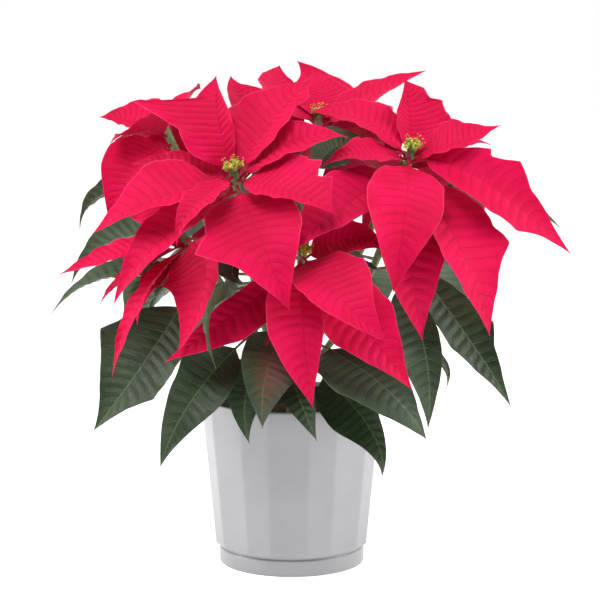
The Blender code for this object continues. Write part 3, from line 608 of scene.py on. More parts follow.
def fine_blade(blade, root, mid, tip, face, seed):
    """One bract or leaf: its points, its faces, and what the materials read of each point."""
    chance = random.Random(seed)
    on_stalk = np.linspace(0, 1, STALK_ROWS, endpoint=False)
    on_blade = np.linspace(0, 1, BLADE_ROWS)
    shares = np.concatenate([on_stalk * blade.stalk, blade.stalk + (1 - blade.stalk) * on_blade])
    along_blade = np.concatenate([np.zeros(STALK_ROWS), on_blade])
    rows = along_blade[:, None]
    places, tangents = midrib(root, mid, tip, shares)
    length = np.linalg.norm(np.diff(places, axis=0), axis=1).sum()
    side = unit(np.cross(tip - root, face))
    across = side - tangents * (tangents @ side)[:, None]
    across /= np.linalg.norm(across, axis=1)[:, None]
    roll = math.radians(blade.roll)
    across = across * math.cos(roll) + np.cross(tangents, across) * math.sin(roll)
    up = np.cross(across, tangents)

    columns = np.concatenate([-COLUMNS[:0:-1], COLUMNS])
    halves = [half_width(blade, sign, along_blade)[:, None] for sign in (-1, 1)]
    reach = np.where(columns < 0, *halves)
    stalk_width = STALK_RADIUS * (1 - (1 - STALK_TAPER) * on_stalk)
    reach[:STALK_ROWS] = stalk_width[:, None]
    reach = np.maximum(reach, STALK_RADIUS * STALK_TAPER * np.exp(-rows * 14))
    distance = reach * columns
    slant = blade.width / 2 / length
    height, veins = relief_of(blade, rows, columns, reach, slant, chance)

    # The stalk is round, and goes on as a rib under the sheet
    rib = STALK_RADIUS * STALK_TAPER * (1 - 0.86 * on_blade)
    stalk = np.concatenate([stalk_width, rib])[:, None]
    round_part = stalk * np.sqrt(capped(1 - (distance / (1.02 * stalk)) ** 2))
    sheet = BLADE_SHEET / 2 * (1 - 0.45 * columns**6)
    closed = 1 - capped(rows * OPENING)
    top = height + sheet + round_part * closed
    bottom = height - sheet - round_part * (0.35 + 0.65 * closed)
    flat_places = places[:, None] + across[:, None] * distance[:, :, None]
    top_points = flat_places + up[:, None] * top[:, :, None]
    bottom_points = flat_places + up[:, None] * bottom[:, :, None]
    points = np.concatenate([top_points, bottom_points[:, ::-1]], axis=1)

    count = len(columns)
    ring = 2 * count
    last = (len(shares) - 1) * ring
    faces = ring_faces(len(shares), ring)
    for base, flip in ((0, 1), (last, -1)):
        for i in range(count - 1):
            cap = [base + i, base + ring - 1 - i, base + ring - 2 - i, base + i + 1]
            faces.append(cap[::flip])

    def both(values):
        """The values at the upper points, and the same at the lower ones."""
        upper = np.broadcast_to(values, distance.shape)
        return np.concatenate([upper, upper[:, ::-1]], axis=1).ravel()

    facts = {
        "vein": both(veins),
        "across": both(columns),
        "rib": both(distance),
        "along": both(rows),
        "run": both(shares[:, None] * length),
        "under": np.tile(np.arange(ring) >= count, len(shares)),
        "tone": chance.random(),
        "stalk": both(capped(1 - rows * 25) * (shares[:, None] < blade.stalk + 0.06)),
    }
    return points.reshape(-1, 3), faces, facts


def blush_of(facts):
    """A soft patch, from 0 to 1, below the middle of a blade and wider on one half."""
    past_middle = (facts["along"] - BLUSH_ALONG) / BLUSH_LENGTH
    past_rib = (facts["across"] - BLUSH_ACROSS) / BLUSH_SPREAD
    return np.exp(-(past_middle**2) - past_rib**2)


# Round forms


def tube(points, radii, sides):
    """A closed round tube along a line of points: (points, faces)."""
    radii = np.broadcast_to(radii, (len(points),))[:, None, None]
    tangents = np.gradient(points, axis=0)
    tangents /= np.linalg.norm(tangents, axis=1)[:, None]
    aside = (0.31, 0.22, 0.93) if abs(tangents[0][2]) < 0.9 else (1, 0, 0)
    across = [unit(np.cross(tangents[0], aside))]
    for along in tangents[1:]:
        across.append(unit(across[-1] - along * (across[-1] @ along)))
    up = np.cross(tangents, across)[:, None]
    across = np.array(across)[:, None]
    angles = (np.arange(sides) * 2 * math.pi / sides)[None, :, None]
    rings = points[:, None] + radii * np.cos(angles) * across + radii * np.sin(angles) * up
    faces = ring_faces(len(points), sides)
    faces.append(list(range(sides))[::-1])
    faces.append([(len(points) - 1) * sides + i for i in range(sides)])
    return rings.reshape(-1, 3), faces


def revolved(profile, sides):
    """A form turned about Z from (radius, height) pairs, from axis to axis: (points, faces)."""
    angles = np.arange(sides) * 2 * math.pi / sides
    circle = np.stack([np.cos(angles), np.sin(angles), np.ones(sides)], axis=1)
    rings = [circle * (radius, radius, height) for radius, height in profile[1:-1]]
    points = np.concatenate([[(0, 0, profile[0][1])], *rings, [(0, 0, profile[-1][1])]])
    high = len(points) - 1
    last = high - sides
    faces = [[0, 1 + (i + 1) % sides, 1 + i] for i in range(sides)]
    faces += [[corner + 1 for corner in face] for face in ring_faces(len(rings), sides)]
    faces += [[last + i, last + (i + 1) % sides, high] for i in range(sides)]
    return points, faces


def placed(points, place, axis, spin=0.0):
    """Points turned from +Z to an axis and moved to a place."""
    turn = Vector(axis).to_track_quat("Z", "Y").to_matrix() @ Matrix.Rotation(spin, 3, "Z")
    return points @ np.array(turn).T + place


def arc(centre, radius, start, end, steps):
    """(radius, height) pairs round part of a circle, by angles in degrees."""
    angles = [math.radians(start + (end - start) * i / steps) for i in range(steps + 1)]
    return [(centre[0] + radius * math.cos(a), centre[1] + radius * math.sin(a)) for a in angles]


# Pieces


class Shape:
    """A piece in the making: points in millimetres, faces, their materials, and the points' facts."""

    FACTS = ("vein", "across", "rib", "along", "run", "under", "tone", "stalk", "blush")

    def __init__(self, name):
        self.name = name
        self.points, self.faces, self.looks = [], [], []
        self.facts = {fact: [] for fact in self.FACTS}
        self.count = 0

    def add(self, points, faces, look=0, **facts):
        """One more closed form, with the number of its material in the piece's list."""
        self.faces += [[corner + self.count for corner in face] for face in faces]
        self.looks += [look] * len(faces)
        self.points.append(points)
        for fact in self.FACTS:
            self.facts[fact].append(np.broadcast_to(facts.get(fact, 0.0), (len(points),)))
        self.count += len(points)

    def piece(self, materials, nodes, slot, smooth_angle=None):
        """The finished object, riding on the frame in the place of its CAD nodes."""
        mesh = bpy.data.meshes.new(self.name)
        mesh.from_pydata((np.concatenate(self.points) * MM).tolist(), [], self.faces)
        bm = bmesh.new()
        bm.from_mesh(mesh)
        bmesh.ops.recalc_face_normals(bm, faces=bm.faces)
        bm.to_mesh(mesh)
        bm.free()
        for material in materials:
            mesh.materials.append(material)
        mesh.polygons.foreach_set("material_index", self.looks)
        for fact, parts in self.facts.items():
            values = np.concatenate(parts)
            if values.any():
                made = mesh.attributes.new(fact, "FLOAT", "POINT")
                made.data.foreach_set("value", values.astype(np.float32))
        mesh.shade_smooth()
        if smooth_angle is not None:
            mesh.set_sharp_from_angle(angle=math.radians(smooth_angle))
        item = bpy.data.objects.new(self.name, mesh)
        bpy.context.scene.collection.objects.link(item)
        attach(item, "root")
        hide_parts(*nodes)


# The pots and the soil


def fluted(angles):
    """The unit outline of the flats at these angles, with its corners a little rounded."""
    wide, pair = math.radians(WIDE_FLUTE_DEG), 2 * math.pi / FLUTE_PAIRS
    total = np.zeros_like(angles)
    for i in range(2 * FLUTE_PAIRS):
        flat = pair - wide if i % 2 else wide
        facing = np.cos(angles - (math.radians(FLUTE_TURN_DEG) + pair * (i / 2)))
        near = (np.maximum(facing, 0.5) / math.cos(flat / 2)) ** CORNER_SHARPNESS
        total += np.where(facing > 0.5, near, 0)
    return total ** (-1 / CORNER_SHARPNESS)


def outer_pot(materials):
    """The glazed pot: foot ring, fluted wall, rounded lip and plain inside."""
    shoulder = FOOT_HEIGHT - 0.4 - FOOT_ROUNDING
    profile = [(0, 0), (FOOT_RADIUS - 9, 0), (FOOT_RADIUS - 2.5, 0)]
    profile += arc((FOOT_RADIUS - HEEL, HEEL), HEEL, -90, 0, 5)
    profile += [(FOOT_RADIUS, 6)]
    profile += arc((FOOT_RADIUS - FOOT_ROUNDING, shoulder), FOOT_ROUNDING, 0, 75, 4)
    profile += [(FOOT_RADIUS + out, FOOT_HEIGHT + up) for out, up in FOOT_STEP]
    profile += [(FLUTE_FOOT_RADIUS - 0.8, FOOT_HEIGHT + 2.8)]
    share = np.linspace(0, 1, WALL_ROWS)[:, None]
    low, high = np.array([(FLUTE_FOOT_RADIUS, FOOT_HEIGHT + 4), (RIM_RADIUS, POT_HEIGHT - LIP)])
    profile += (low * (1 - share) + high * share).tolist()
    profile += arc((RIM_RADIUS - LIP, POT_HEIGHT - LIP), LIP, 12, 90, 5)
    outside_rows = len(profile)
    mouth = RIM_RADIUS * math.cos(math.radians(WIDE_FLUTE_DEG / 2)) - RIM_WALL
    inside_foot = FOOT_RADIUS - FOOT_WALL
    profile += arc((mouth + LIP, POT_HEIGHT - LIP), LIP, 90, 175, 5)
    for share in np.linspace(0.04, 0.96, INSIDE_ROWS):
        reach = mouth + (inside_foot - mouth) * share
        profile.append((reach, POT_HEIGHT + (POT_FLOOR - POT_HEIGHT) * share))
    profile += [(inside_foot - 2.5, POT_FLOOR), (0, POT_FLOOR)]

    # The wall and lip follow the flats. The foot and the inside are round.
    points, faces = revolved(profile, POT_SIDES)
    flats = fluted(np.arange(POT_SIDES) * 2 * math.pi / POT_SIDES)
    for row, (_, height) in enumerate(profile[1:outside_rows]):
        if height >= FOOT_HEIGHT + 0.3:
            share = min(1.0, (height - FOOT_HEIGHT) / 3.0)
            block = slice(1 + row * POT_SIDES, 1 + (row + 1) * POT_SIDES)
            points[block, :2] *= (1 - share + share * flats)[:, None]
    shape = Shape("fluted_pot")
    shape.add(points, faces)
    shape.piece(materials, ["outer_pot"], "outer_pot")


def nursery_pot(materials):
    """The thin black pot inside, with its stepped rim."""
    stand = POT_FLOOR + GAP
    floor = stand + NURSERY_WALL
    collar = NURSERY_TOP - NURSERY_COLLAR
    profile = [(0, stand), (NURSERY_FOOT_RADIUS - 1, stand)]
    profile += arc((NURSERY_FOOT_RADIUS - 1, stand + 1), 1, -80, 0, 4)
    profile += [(NURSERY_RADIUS - out, collar + up) for out, up in COLLAR_STEP]
    profile += arc((NURSERY_RADIUS - 2.1, NURSERY_TOP - BEAD), BEAD, 0, 90, 4)
    profile += arc((NURSERY_RADIUS - 2.9, NURSERY_TOP - BEAD), BEAD, 90, 180, 4)
    profile += [(NURSERY_RADIUS - 3.6, collar + 0.5), (NURSERY_MOUTH - NURSERY_WALL, collar - 0.8)]
    profile += [(NURSERY_FOOT_RADIUS - NURSERY_WALL, floor + 0.5), (0, floor)]
    shape = Shape("grower_pot")
    shape.add(*revolved(profile, ROUND_SIDES))
    shape.piece(materials, ["nursery_pot"], "nursery_pot", 40)


def soil(materials):
    """Uneven soil with crumbs, bark chips and a few pale grains on it."""
    chance = random.Random(SOIL_SEED)
    floor = POT_FLOOR + GAP + NURSERY_WALL
    low = NURSERY_FOOT_RADIUS - NURSERY_WALL - 2 * GAP
    high = NURSERY_MOUTH - NURSERY_WALL - 2 * GAP
    edge = low + (high - low) * (SOIL_TOP - floor) / (NURSERY_TOP - NURSERY_COLLAR - floor)
    profile = [(0, floor + GAP), (low, floor + GAP)]
    profile += [(edge * share, SOIL_TOP) for share in np.linspace(1, 0, SOIL_ROWS)]
    points, faces = revolved(profile, ROUND_SIDES)
    for point in points:
        if point[2] > SOIL_TOP - 1:
            spot = Vector((point[0], point[1], 3.0)) * 0.16
            inward = 1 - math.hypot(point[0], point[1]) / edge
            lump = noise.fractal(spot, 0.7, 2.1, 4) * LUMP_HEIGHT * min(1.0, inward * 8)
            point[2] += MOUND * inward + lump
    shape = Shape("potting_soil")
    shape.add(points, faces)
    crumb = bmesh.new()
    bmesh.ops.create_icosphere(crumb, subdivisions=1, radius=1)
    crumb_points = np.array([v.co for v in crumb.verts])
    crumb_faces = [[v.index for v in face.verts] for face in crumb.faces]
    crumb.free()
    for i in range(CRUMBS):
        out, angle = edge * 0.97 * math.sqrt(chance.random()), chance.uniform(0, 2 * math.pi)
        height = SOIL_TOP + CRUMB_LIFT * (1 - out / edge)
        place = np.array([out * math.cos(angle), out * math.sin(angle), height])
        size = [chance.uniform(least, most) for least, most in CRUMB_SIZES]
        rough = crumb_points * size * (1 + 0.25 * np.sin(crumb_points * 7 + i))
        pale = chance.random() < PALE_GRAINS
        axis = (chance.uniform(-0.6, 0.6), chance.uniform(-0.6, 0.6), 1)
        shape.add(placed(rough, place, axis), crumb_faces, int(pale))
    shape.piece(materials, ["soil"], "soil", 50)


# The woody part and the green stems


def trunk(materials):
    """The ridged trunk and its forks."""
    heights = np.linspace(TRUNK_ROOT, TRUNK_TOP, TRUNK_ROWS)
    share = (heights - TRUNK_ROOT) / (TRUNK_TOP - TRUNK_ROOT)
    ridges = 0.25 * np.sin(heights * 0.55) + 0.15 * np.sin(heights * 1.7)
    radii = np.minimum(TRUNK_RADIUS * (1 - 0.4 * share) + ridges, TRUNK_RADIUS)
    shape = Shape("woody_trunk")
    line = heights[:, None] * (0, 0, 1)
    shape.add(*tube(line, radii, TRUNK_SIDES), tone=np.repeat(share, TRUNK_SIDES))
    along = np.linspace(-FORK_REACH + 0.5, 0, FORK_ROWS)
    swell = 1 + 0.35 * np.exp(-(((along + FORK_REACH) / 4) ** 2)) + 0.05 * np.sin(along * 1.3)
    radii = STEM_RADIUS * np.linspace(1.22, 1.05, FORK_ROWS) * swell
    tone = np.repeat(np.linspace(0.6, 1, FORK_ROWS), STEM_SIDES)
    for head in HEADS.values():
        if head.fork_height < TRUNK_TOP:
            end, outward = fork_of(head)
            shape.add(*tube(end + outward * along[:, None], radii, STEM_SIDES), tone=tone)
    shape.piece(materials, ["trunk"], "trunk", 60)


def leafy_stem(shape, name, head):
    """A branch's green stem: swollen at each leaf's root, with scars of leaves that fell."""
    shares = np.linspace(0, 1, STEM_ROWS)
    line = np.array([on_branch(head, share) for share in shares])
    swell = np.zeros(STEM_ROWS)
    for blade in LEAVES[name]:
        swell += 0.28 * np.exp(-(((shares - blade.root) / 0.025) ** 2))
    chance = random.Random(name)
    for _ in range(LEAF_SCARS):
        swell += 0.12 * np.exp(-(((shares - chance.random()) / 0.014) ** 2))
    radii = STEM_RADIUS * (1 - 0.06 * shares + swell * 0.5)
    shape.add(*tube(line, radii, STEM_SIDES), 1, tone=np.repeat(shares, STEM_SIDES))


def head_core(shape, head):
    """The knobbly core that a head's bracts grow from."""
    share = np.linspace(0, 1, CORE_ROWS)
    line = np.array(head.place) - unit(head.axis) * HEAD_LENGTH * (1 - share)[:, None]
    radii = STEM_RADIUS + (HEAD_RADIUS - STEM_RADIUS) * share + 0.18 * np.sin(share * 40)
    shape.add(*tube(line, radii, STEM_SIDES), 1, tone=np.repeat(share, STEM_SIDES))


# Small flowers


def flower_cup(shape, place, axis, size, chance):
    """One green cup with its yellow lipped gland, and red threads with pale tips."""
    spin = chance.uniform(0, 2 * math.pi)

    def aside(angle):
        """The direction across the cup's axis at this angle."""
        return placed(np.array([math.cos(angle), math.sin(angle), 0]), 0, axis, spin)

    points, faces = revolved(np.array(CUP) * size, 30)
    angles = np.arctan2(points[:, 1], points[:, 0])
    points[:, :2] *= 1 + CUP_RIBS * np.cos(5 * angles)[:, None]
    shape.add(placed(points, place, axis, spin), faces, 0, tone=(points[:, 2] + 3) / 6)
    outward = aside(0)
    points, faces = revolved(np.array(GLAND) * size, 24)
    points[:, 1] *= 1.35
    spot = place + outward * 2.2 * size + axis * 0.9 * size
    gland = placed(points, spot, unit(outward + axis * 0.7), spin)
    shape.add(gland, faces, 1, tone=chance.random())
    steps = np.linspace(0, 1, 6)[:, None]
    for _ in range(chance.randint(5, 9)):
        side = aside(chance.uniform(0, 2 * math.pi))
        reach = chance.uniform(0.6, 2.6) * size
        rise = chance.uniform(2.4, 4.8) * size
        climb = 1.9 * size + rise * steps - reach * 0.35 * steps**2
        line = place + axis * climb + side * reach * steps**1.6
        shape.add(*tube(line, THREAD_RADIUS * size, 6), 2)
        tip, faces = revolved(PALE_TIP, 8)
        shape.add(placed(tip * size * (1.25, 0.8, 1), line[-1], unit(side + axis)), faces, 3)


def flower_cluster(name, head, materials):
    """The small flowers on a short core, where the construction has its round buds."""
    shape = Shape(f"small_flowers_{name}")
    axis = unit(head.axis)
    top = head.place + axis * GAP
    core = top + axis * np.linspace(0, FLOWER_LIFT, 5)[:, None]
    shape.add(*tube(core, HEAD_RADIUS * 0.8, STEM_SIDES), tone=0.3)
    chance = random.Random(name)
    spots = []
    for i in range(FLOWER_RING + 1):
        out = across_axis(axis, 2 * math.pi * i / FLOWER_RING)
        spread = FLOWER_SPREAD * chance.uniform(0.75, 1.0) if i < FLOWER_RING else 0.0
        place = top + out * spread + axis * (FLOWER_LIFT + chance.uniform(-0.6, 1.2))
        spots.append((place, unit(axis + out * 0.5 * (spread > 0))))
    for place, facing in spots:
        flower_cup(shape, place, facing, chance.uniform(0.92, 1.12), chance)
    shape.piece(materials, [f"flowers_{name}"], "flower", 50)


# Materials


class Nodes:
    """The nodes of a new material, given its name, or of the world, made by short calls."""

    def __init__(self, owner):
        self.owner = bpy.data.materials.new(owner) if isinstance(owner, str) else owner
        self.owner.use_nodes = True
        self.tree = self.owner.node_tree

    def node(self, kind, inputs=(), **settings):
        """A node with its settings. inputs holds (socket, value or other socket) pairs."""
        made = self.tree.nodes.new(kind)
        for key, value in settings.items():
            setattr(made, key, value)
        for socket, value in inputs:
            self.feed(made.inputs[socket], value)
        return made

    def feed(self, socket, value):
        """Set a value, or link another socket. A colour is given as red, green and blue."""
        if isinstance(value, bpy.types.NodeSocket):
            self.tree.links.new(value, socket)
        else:
            socket.default_value = (*value, 1.0) if socket.type == "RGBA" else value

    def math(self, operation, *values):
        return self.node("ShaderNodeMath", enumerate(values), operation=operation).outputs[0]

    def times(self, first, second):
        return self.math("MULTIPLY", first, second)

    def fact(self, name):
        """A fact of the mesh's points, as a number."""
        return self.node("ShaderNodeAttribute", attribute_name=name).outputs["Fac"]

    def ramp(self, value, low, high, start=0.0, end=1.0):
        """The value's stretch from low to high, turned smoothly into start to end."""
        inputs = enumerate((value, low, high, start, end))
        return self.node("ShaderNodeMapRange", inputs, interpolation_type="SMOOTHSTEP").outputs[0]

    def mix(self, share, first, second):
        """Two colours mixed. Each value is plain or a socket."""
        inputs = (("Factor", share), (6, first), (7, second))
        return self.node("ShaderNodeMix", inputs, data_type="RGBA").outputs[2]

    def place(self):
        """Where a point is on the object, in metres."""
        return self.node("ShaderNodeTexCoord").outputs["Object"]

    def streaks(self, scale):
        """Where a point is, at another scale along each axis."""
        inputs = (("Vector", self.place()), ("Scale", scale))
        return self.node("ShaderNodeMapping", inputs).outputs[0]

    def noise(self, scale, detail=3.0, roughness=0.5, vector=None):
        vector = vector or self.place()
        inputs = (("Vector", vector), ("Scale", scale), ("Detail", detail), ("Roughness", roughness))
        return self.node("ShaderNodeTexNoise", inputs).outputs["Fac"]

    def cells(self, scale, vector=None, feature="F1"):
        """The distance to the middle of the nearest cell, or to its edge."""
        inputs = (("Vector", vector or self.place()), ("Scale", scale))
        return self.node("ShaderNodeTexVoronoi", inputs, feature=feature).outputs["Distance"]

    def bump(self, height, depth, normal=None):
        """A bump of this depth in millimetres."""
        inputs = [("Height", height), ("Distance", depth * MM), ("Strength", 1.0)]
        if normal is not None:
            inputs.append(("Normal", normal))
        return self.node("ShaderNodeBump", inputs).outputs["Normal"]

    def finish(self, body, roughness, **inputs):
        """The material, with its colour, its roughness and more of the shader's inputs by name."""
        shader = self.tree.nodes["Principled BSDF"]
        for key, value in {"Base_Color": body, "Roughness": roughness, **inputs}.items():
            self.feed(shader.inputs[key.replace("_", " ")], value)
        return self.owner


def blade_look(name, palette):
    """Bracts or leaves: rib, side veins, a fine net of veins, a painted highlight along the rim,
    painted shade in the vein grooves, tones and underside.
    """
    nodes = Nodes(name)
    fact, mix, noise_of, ramp, times = nodes.fact, nodes.mix, nodes.noise, nodes.ramp, nodes.times
    tone, rib_place = fact("tone"), fact("rib")
    across = nodes.math("ABSOLUTE", fact("across"))
    wobble = times(nodes.math("SUBTRACT", noise_of(160, 2), 0.5), VEIN_WOBBLE)
    from_vein = nodes.math("PINGPONG", nodes.math("ADD", fact("vein"), wobble), 0.5)
    thin = ramp(across, 0.0, 1.0, palette.vein_width, palette.vein_width * 0.45)
    past_line = ramp(nodes.math("DIVIDE", from_vein, thin), 0.25, 1.0)
    side_vein = nodes.math("SUBTRACT", 1.0, past_line)
    side_vein = times(side_vein, ramp(across, 0.72, 0.97, 1.0, 0.15))
    rib_distance = nodes.math("ABSOLUTE", rib_place)
    rib = ramp(rib_distance, palette.rib_width * 0.35, palette.rib_width, 1.0, 0.0)
    rib = times(rib, ramp(fact("along"), 0.7, 1.0, 1.0, 0.25))
    drawn = nodes.math("MAXIMUM", side_vein, rib)
    sheet_place = enumerate((fact("run"), rib_place, times(tone, 90.0)))
    sheet = nodes.node("ShaderNodeCombineXYZ", sheet_place).outputs[0]
    net = nodes.cells(NET_SCALE, sheet, "DISTANCE_TO_EDGE")
    net_line = ramp(net, 0.0, 0.16, 1.0, 0.0)
    cloud = noise_of(42, 3)

    body = mix(ramp(cloud, 0.3, 0.72), palette.deep, palette.lit)
    body = mix(times(tone, 0.55), body, palette.other)
    # Painted shade in the sunken grooves: the sheet darkens towards each side vein
    shoulder = ramp(from_vein, 0.05, 0.4, 1.0, 0.0)
    body = mix(times(shoulder, palette.shoulder), body, palette.deep)
    body = mix(times(net_line, palette.net), body, palette.vein)
    body = mix(times(drawn, palette.drawn), body, palette.vein)
    # A painted highlight: the edge of each blade is lightened towards the rim colour
    body = mix(ramp(across, 0.965, 1.0, 0.0, palette.rim_share), body, palette.rim)
    blush = times(fact("blush"), ramp(from_vein, 0.04, 0.22, 0.35, 1.0))
    body = mix(blush, body, palette.blush)
    back = mix(times(drawn, 0.5), palette.under, palette.under_vein)
    back = mix(times(ramp(cloud, 0.3, 0.7), 0.35), back, palette.deep)
    whole = mix(fact("under"), body, back)
    whole = mix(times(fact("stalk"), 0.85), whole, palette.stalk)
    relief = times(nodes.math("MAXIMUM", side_vein, times(net_line, 0.35)), -1.0)
    normal = nodes.bump(noise_of(900, 2), 0.035, nodes.bump(relief, palette.relief))
    rough = ramp(noise_of(120, 2), 0.2, 0.8, palette.gloss - 0.06, palette.gloss + 0.08)
    return nodes.finish(whole, rough, Normal=normal, Specular_IOR_Level=palette.specular)


BRACT_PALETTE = Palette(
    deep=(0.52, 0.0012, 0.041),
    lit=(0.66, 0.0020, 0.066),
    other=(0.58, 0.0020, 0.058),
    vein=(0.34, 0.0010, 0.024),
    # rim is the colour of a painted highlight along the bract's edge
    rim=(0.74, 0.055, 0.16),
    blush=(0.6, 0.01, 0.06),
    under=(0.56, 0.012, 0.065),
    under_vein=(0.46, 0.01, 0.05),
    stalk=(0.34, 0.006, 0.02),
    vein_width=0.09,
    rib_width=0.9,
    # shoulder is how much painted shade darkens the sunken vein grooves
    shoulder=0.12,
    net=0.05,
    drawn=0.32,
    rim_share=0.75,
    relief=0.22,
    gloss=0.55,
    specular=0.09,
)

LEAF_PALETTE = Palette(
    deep=(0.016, 0.030, 0.012),
    lit=(0.032, 0.054, 0.022),
    other=(0.024, 0.046, 0.022),
    vein=(0.115, 0.165, 0.075),
    # rim is the colour of a painted highlight along the leaf's edge
    rim=(0.10, 0.14, 0.07),
    blush=(0.145, 0.045, 0.034),
    under=(0.07, 0.105, 0.05),
    under_vein=(0.12, 0.16, 0.075),
    stalk=(0.10, 0.06, 0.035),
    vein_width=0.05,
    rib_width=0.8,
    # shoulder is how much painted shade darkens the sunken vein grooves
    shoulder=0.3,
    net=0.16,
    drawn=0.6,
    rim_share=0.7,
    relief=0.2,
    gloss=0.40,
    specular=0.3,
)


def stem_look():
    """Green stems, flushed purple towards their heads, with fine length-ways streaks."""
    nodes = Nodes("green_stem")
    fine = nodes.noise(1, 3, 0.6, nodes.streaks((900, 900, 60)))
    broad = nodes.ramp(nodes.noise(60, 2), 0.4, 0.7)
    flushed = nodes.times(broad, nodes.ramp(nodes.fact("tone"), 0.3, 1.0))
    body = nodes.mix(nodes.ramp(fine, 0.3, 0.7), (0.075, 0.13, 0.045), (0.15, 0.22, 0.085))
    body = nodes.mix(flushed, body, (0.17, 0.05, 0.06))
    return nodes.finish(body, 0.5, Normal=nodes.bump(fine, 0.12), Specular_IOR_Level=0.4)


def bark_look():
    """Thin grey-green bark, browner low down, with pores and cracks."""
    nodes = Nodes("young_bark")
    cracks = nodes.noise(1, 5, 0.65, nodes.streaks((420, 420, 110)))
    body = nodes.mix(nodes.ramp(cracks, 0.35, 0.65), (0.085, 0.065, 0.035), (0.19, 0.165, 0.09))
    body = nodes.mix(nodes.ramp(nodes.fact("tone"), 0.2, 1.0, 0.0, 0.7), body, (0.09, 0.12, 0.05))
    body = nodes.mix(nodes.ramp(nodes.cells(420), 0.0, 0.22, 0.5, 0.0), body, (0.30, 0.25, 0.17))
    return nodes.finish(body, 0.8, Normal=nodes.bump(cracks, 0.5))


def glaze_look():
    """White glaze: faint thickness changes, tiny pits and a soft sheen."""
    nodes = Nodes("white_glaze")
    cloud = nodes.noise(30, 3)
    pit = nodes.ramp(nodes.cells(700), 0.0, 0.12, 1.0, 0.0)
    body = nodes.mix(nodes.ramp(cloud, 0.3, 0.7), GLAZE_SHADE, GLAZE_LIGHT)
    body = nodes.mix(nodes.times(pit, 0.06), body, (0.45, 0.44, 0.42))
    return nodes.finish(
        body,
        nodes.ramp(cloud, 0.2, 0.8, 0.25, 0.27),
        Normal=nodes.bump(pit, -0.01, nodes.bump(nodes.noise(40, 2), 0.05)),
        Specular_IOR_Level=0.2,
        Coat_Weight=0.06,
        Coat_Roughness=0.08,
    )


def plastic_look():
    """Black grower's plastic with dust and a fine moulded grain."""
    nodes = Nodes("black_plastic")
    dust = nodes.noise(70, 5, 0.6)
    body = nodes.mix(nodes.ramp(dust, 0.5, 0.8, 0.0, 0.35), (0.012, 0.012, 0.013), (0.07, 0.06, 0.05))
    rough = nodes.ramp(dust, 0.3, 0.8, 0.38, 0.6)
    return nodes.finish(body, rough, Normal=nodes.bump(nodes.noise(1500, 2), 0.05))


def soil_look(name, dark, light):
    """Peat, or one of the grains on it."""
    nodes = Nodes(name)
    clods = nodes.noise(260, 6, 0.7)
    body = nodes.mix(nodes.ramp(clods, 0.35, 0.68), dark, light)
    normal = nodes.bump(nodes.noise(1400, 3), 0.3, nodes.bump(clods, 1.2))
    return nodes.finish(body, 0.95, Normal=normal, Specular_IOR_Level=0.2)


def flower_look(name, low, high, roughness):
    """One part of the small flowers: its colour from its foot to its top, with fine mottling."""
    nodes = Nodes(name)
    mottle = nodes.noise(1100, 2)
    body = nodes.mix(nodes.ramp(nodes.fact("tone"), 0.1, 0.9), low, high)
    body = nodes.mix(nodes.ramp(mottle, 0.35, 0.7, 0.0, 0.35), body, low)
    return nodes.finish(
        body,
        roughness,
        Normal=nodes.bump(mottle, 0.05),
        Subsurface_Weight=0.1,
        Subsurface_Radius=(1.0, 0.8, 0.3),
        Subsurface_Scale=0.001,
    )


# The room


def aimed(name, data, place, target):
    """A light or camera at a place and turned to a target, both in millimetres."""
    made = bpy.data.objects.new(name, data)
    made.location = Vector(place) * MM
    made.rotation_euler = (Vector(target) - Vector(place)).to_track_quat("-Z", "Y").to_euler()
    bpy.context.scene.collection.objects.link(made)
    return made


def surround(scene):
    """A white surround that is dimmer in front of the plant."""
    scene.world = bpy.data.worlds.new("studio")
    nodes = Nodes(scene.world)
    where = nodes.node("ShaderNodeTexCoord").outputs["Generated"]
    front = nodes.node("ShaderNodeSeparateXYZ", ((0, where),)).outputs["Y"]
    background = nodes.tree.nodes["Background"]
    nodes.feed(background.inputs["Strength"], nodes.ramp(front, *FRONT_FALL))
    nodes.feed(background.inputs["Color"], (1, 1, 1))


def pale_floor(scene):
    """A plain floor, just below the pot's foot."""
    mesh = bpy.data.meshes.new("floor")
    half = FLOOR_SIZE / 2 * MM
    corners = [(-half, -half, 0), (half, -half, 0), (half, half, 0), (-half, half, 0)]
    mesh.from_pydata(corners, [], [(0, 1, 2, 3)])
    floor = bpy.data.objects.new("floor", mesh)
    floor.location.z = -0.02 * MM
    scene.collection.objects.link(floor)
    nodes = Nodes("pale_floor")
    pale = nodes.mix(nodes.noise(3, 2), FLOOR_SHADE, FLOOR_LIGHT)
    glow = {"Emission_Color": (1, 1, 1), "Emission_Strength": FLOOR_GLOW}
    mesh.materials.append(nodes.finish(pale, 0.95, Specular_IOR_Level=0.0, **glow))


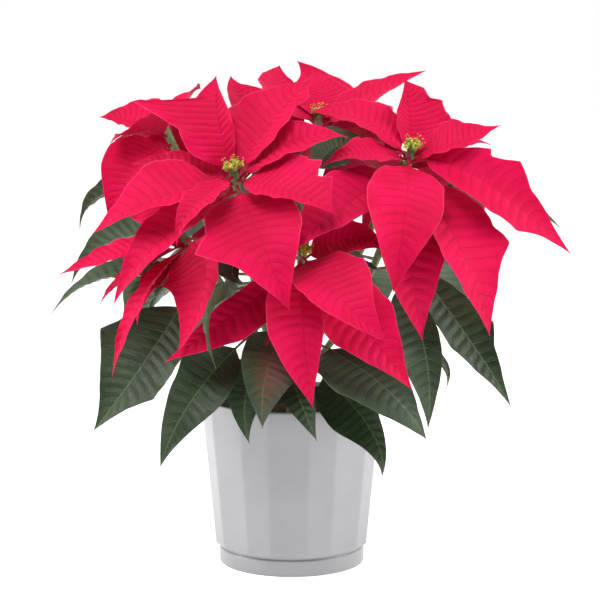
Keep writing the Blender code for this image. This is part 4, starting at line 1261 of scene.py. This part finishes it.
def room():
    """A pale floor, a white surround, soft lights and the camera."""
    scene = bpy.context.scene
    scene.view_settings.view_transform = "Standard"
    surround(scene)
    pale_floor(scene)
    for name, place, size, power in LIGHTS:
        data = bpy.data.lights.new(name, "AREA")
        data.shape = "RECTANGLE"
        data.size, data.size_y = size[0] * MM, size[1] * MM
        data.energy = power
        aimed(name, data, place, LIGHT_TARGET)
    data = bpy.data.cameras.new("camera")
    data.sensor_width, data.lens = SENSOR_WIDTH, CAMERA_LENS
    data.clip_start, data.clip_end = 0.05, 50
    scene.camera = aimed("camera", data, CAMERA_PLACE, CAMERA_TARGET)


# The plant


def corners_of(node):
    """A tree of a CAD node's corners, in millimetres."""
    corners = [v.co / MM for v in node.data.vertices]
    tree = KDTree(len(corners))
    for i, corner in enumerate(corners):
        tree.insert(corner, i)
    tree.balance()
    return tree


def plant(nodes):
    """Every branch and head, in place of its CAD node."""
    stem = stem_look()
    leaf_materials = [blade_look("green_leaves", LEAF_PALETTE), stem]
    bract_materials = [blade_look("red_bracts", BRACT_PALETTE), stem]
    flower_materials = [flower_look(*look) for look in FLOWER_LOOKS]
    shapes = {}
    for name, head in HEADS.items():
        shapes[f"branch_{name}"] = Shape(f"leafy_stem_{name}")
        leafy_stem(shapes[f"branch_{name}"], name, head)
        shapes[f"bracts_{name}"] = Shape(f"bract_star_{name}")
        head_core(shapes[f"bracts_{name}"], head)
        flower_cluster(name, head, flower_materials)
    trees = {node: corners_of(nodes[node]) for node in shapes}
    for seed, (node, blade, root, mid, tip, face) in enumerate(placed_blades()):
        mid, tip = settled(trees[node], blade, root, mid, tip, face)
        points, faces, facts = fine_blade(blade, root, mid, tip, face, seed)
        facts["blush"] = blush_of(facts) * ((node, blade.width) in BLUSHED)
        shapes[node].add(points, faces, 0, **facts)
    for node, shape in shapes.items():
        if node.startswith("branch"):
            shape.piece(leaf_materials, [node], "green_leaf", 70)
        else:
            shape.piece(bract_materials, [node], "red_bract", 70)


def main():
    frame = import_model()
    room()
    outer_pot([glaze_look()])
    nursery_pot([plastic_look()])
    peat = soil_look("peat", (0.018, 0.011, 0.007), (0.075, 0.048, 0.03))
    grain = soil_look("pale_grains", (0.35, 0.32, 0.27), (0.62, 0.59, 0.52))
    soil([peat, grain])
    trunk([bark_look()])
    plant(frame["nodes"])
    bpy.context.view_layer.update()


main()
